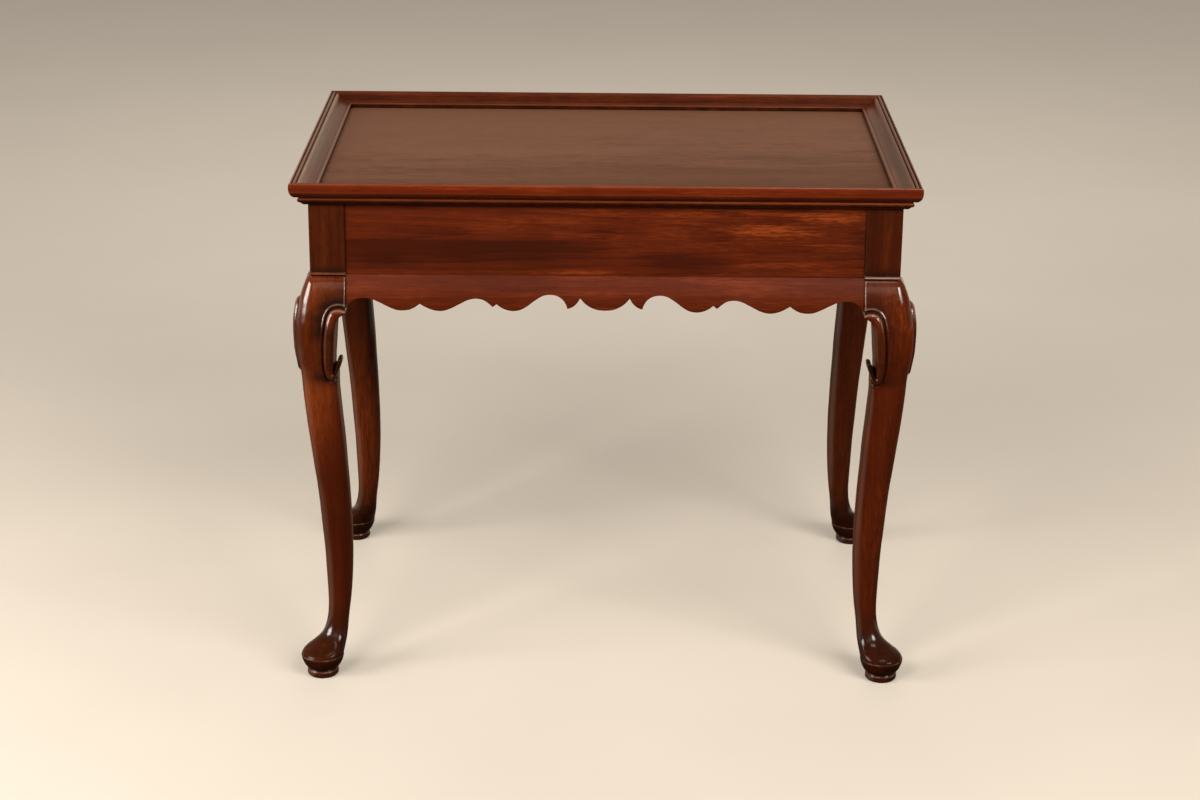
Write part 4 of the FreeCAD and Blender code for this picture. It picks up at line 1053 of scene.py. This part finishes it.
make_stage()
for name, at, watts in (("fill_left", (-1.5, -2.75, 2.55), 92), ("fill_right", (1.5, -2.75, 2.55), 80)):
    area(name, at, (0, 0, 0.45), (1.4, 1.4), watts, (1.0, 0.955, 0.89)).visible_glossy = False      # soft light without glare
area("window_left", (-2.15, -1.05, 1.02), (-0.2, -0.2, 0.45), (1.10, 0.95), 58, (1.0, 0.97, 0.93))
area("lamp_right", (2.2, -2.0, 1.7), (0, -0.2, 0.45), (0.95, 0.95), 50, (1.0, 0.97, 0.93))
area("front_soft", (0.0, -2.70, 2.15), (0, -0.2, 0.5), (2.4, 0.8), 4.0, (1.0, 0.88, 0.74))
area("fill_back", (0.0, 2.9, 2.3), (0, 0, 0.45), (2.0, 1.2), 26, (1.0, 0.955, 0.89)).visible_glossy = False
area("top_strip", (0.9, -1.3, 3.0), (0.2, -0.2, 0.5), (1.3, 0.3), 15, (1.0, 0.97, 0.93))

world = bpy.data.worlds.new("studio")
bpy.context.scene.world = world
world.use_nodes = True
wn = world.node_tree
for n in list(wn.nodes):
    wn.nodes.remove(n)
wout = wn.nodes.new("ShaderNodeOutputWorld")
bg = wn.nodes.new("ShaderNodeBackground")
wtc = wn.nodes.new("ShaderNodeTexCoord")
wsep = wn.nodes.new("ShaderNodeSeparateXYZ")
wn.links.new(wtc.outputs["Generated"], wsep.inputs[0])
level = math_node(wn, "ADD", math_node(wn, "MULTIPLY", wsep.outputs[2], 0.5), 0.5)
depth = math_node(wn, "ADD", math_node(wn, "MULTIPLY", wsep.outputs[1], 0.5), 0.5)
# what the lacquer reflects: pale behind and at the sides with a lighter band low down, dim in front, dark below
behind = ramp(wn, [(0.0, (0.04, 0.028, 0.019)), (0.24, (0.07, 0.05, 0.034)), (0.32, (0.115, 0.076, 0.047)), (0.395, (0.165, 0.112, 0.070)),
                   (0.415, (1.15, 1.0, 0.82)), (0.485, (1.15, 1.0, 0.82)), (0.51, (0.47, 0.375, 0.275)), (0.72, (0.42, 0.33, 0.24)),
                   (0.85, (0.22, 0.19, 0.16)), (1.0, (0.10, 0.095, 0.085))])
ahead = ramp(wn, [(0.0, (0.035, 0.025, 0.017)), (0.47, (0.048, 0.035, 0.025)), (0.55, (0.060, 0.054, 0.047)), (1.0, (0.10, 0.095, 0.085))])
wn.links.new(level, behind.inputs[0])
wn.links.new(level, ahead.inputs[0])
across = ramp(wn, [(0.33, grey(0.55)), (0.50, grey(0.66)), (0.67, grey(1.0)), (0.78, grey(0.7)), (0.92, grey(0.35))])
wn.links.new(math_node(wn, "ADD", math_node(wn, "MULTIPLY", wsep.outputs[0], 0.5), 0.5), across.inputs[0])
pale_side = mix_rgb(wn, "MULTIPLY", 1.0, behind.outputs[0], across.outputs[0])
pale_side = mix_rgb(wn, "MULTIPLY", 1.0, pale_side, (1.5, 1.5, 1.5))
side = ramp(wn, [(0.34, grey(0.0)), (0.64, grey(1.0))])
wn.links.new(depth, side.inputs[0])
around = mix_rgb(wn, "MIX", side.outputs[0], ahead.outputs[0], pale_side)
# warm light low on the left
lit = ramp(wn, [(0.02, (0.72, 0.49, 0.33)), (0.16, (0.66, 0.45, 0.30)), (0.34, grey(0.0))])
wn.links.new(math_node(wn, "ADD", math_node(wn, "MULTIPLY", wsep.outputs[0], 0.5), 0.5), lit.inputs[0])
low = ramp(wn, [(0.20, grey(0.0)), (0.28, grey(1.0)), (0.41, grey(1.0)), (0.46, grey(0.0))])
wn.links.new(level, low.inputs[0])
beside = ramp(wn, [(0.20, grey(0.0)), (0.34, grey(1.0)), (0.60, grey(1.0)), (0.80, grey(0.1))])
wn.links.new(depth, beside.inputs[0])
glow = mix_rgb(wn, "MULTIPLY", 1.0, mix_rgb(wn, "MULTIPLY", 1.0, lit.outputs[0], low.outputs[0]), beside.outputs[0])
# soft light high in front, weaker in the middle
near_x = ramp(wn, [(0.28, grey(0.1)), (0.40, grey(0.35)), (0.48, grey(0.1)), (0.53, grey(0.2)), (0.57, grey(0.7)), (0.66, grey(0.3))])
wn.links.new(math_node(wn, "ADD", math_node(wn, "MULTIPLY", wsep.outputs[0], 0.5), 0.5), near_x.inputs[0])
near_z = ramp(wn, [(0.68, grey(0.0)), (0.73, (1.0, 0.90, 0.60)), (0.80, (1.0, 0.90, 0.60)), (0.86, grey(0.0))])
wn.links.new(level, near_z.inputs[0])
near_y = ramp(wn, [(0.08, grey(1.0)), (0.20, grey(0.0))])
wn.links.new(depth, near_y.inputs[0])
near = mix_rgb(wn, "MULTIPLY", 1.0, mix_rgb(wn, "MULTIPLY", 1.0, near_x.outputs[0], near_z.outputs[0]), near_y.outputs[0])
glow = mix_rgb(wn, "ADD", 1.0, glow, near)
wn.links.new(mix_rgb(wn, "ADD", 1.0, around, glow), bg.inputs[0])
bg.inputs[1].default_value = 1.0
wn.links.new(bg.outputs[0], wout.inputs[0])

vs = bpy.context.scene.view_settings
vs.view_transform = "Standard"
vs.look = "None"
vs.exposure = 0.0
vs.gamma = 1.0
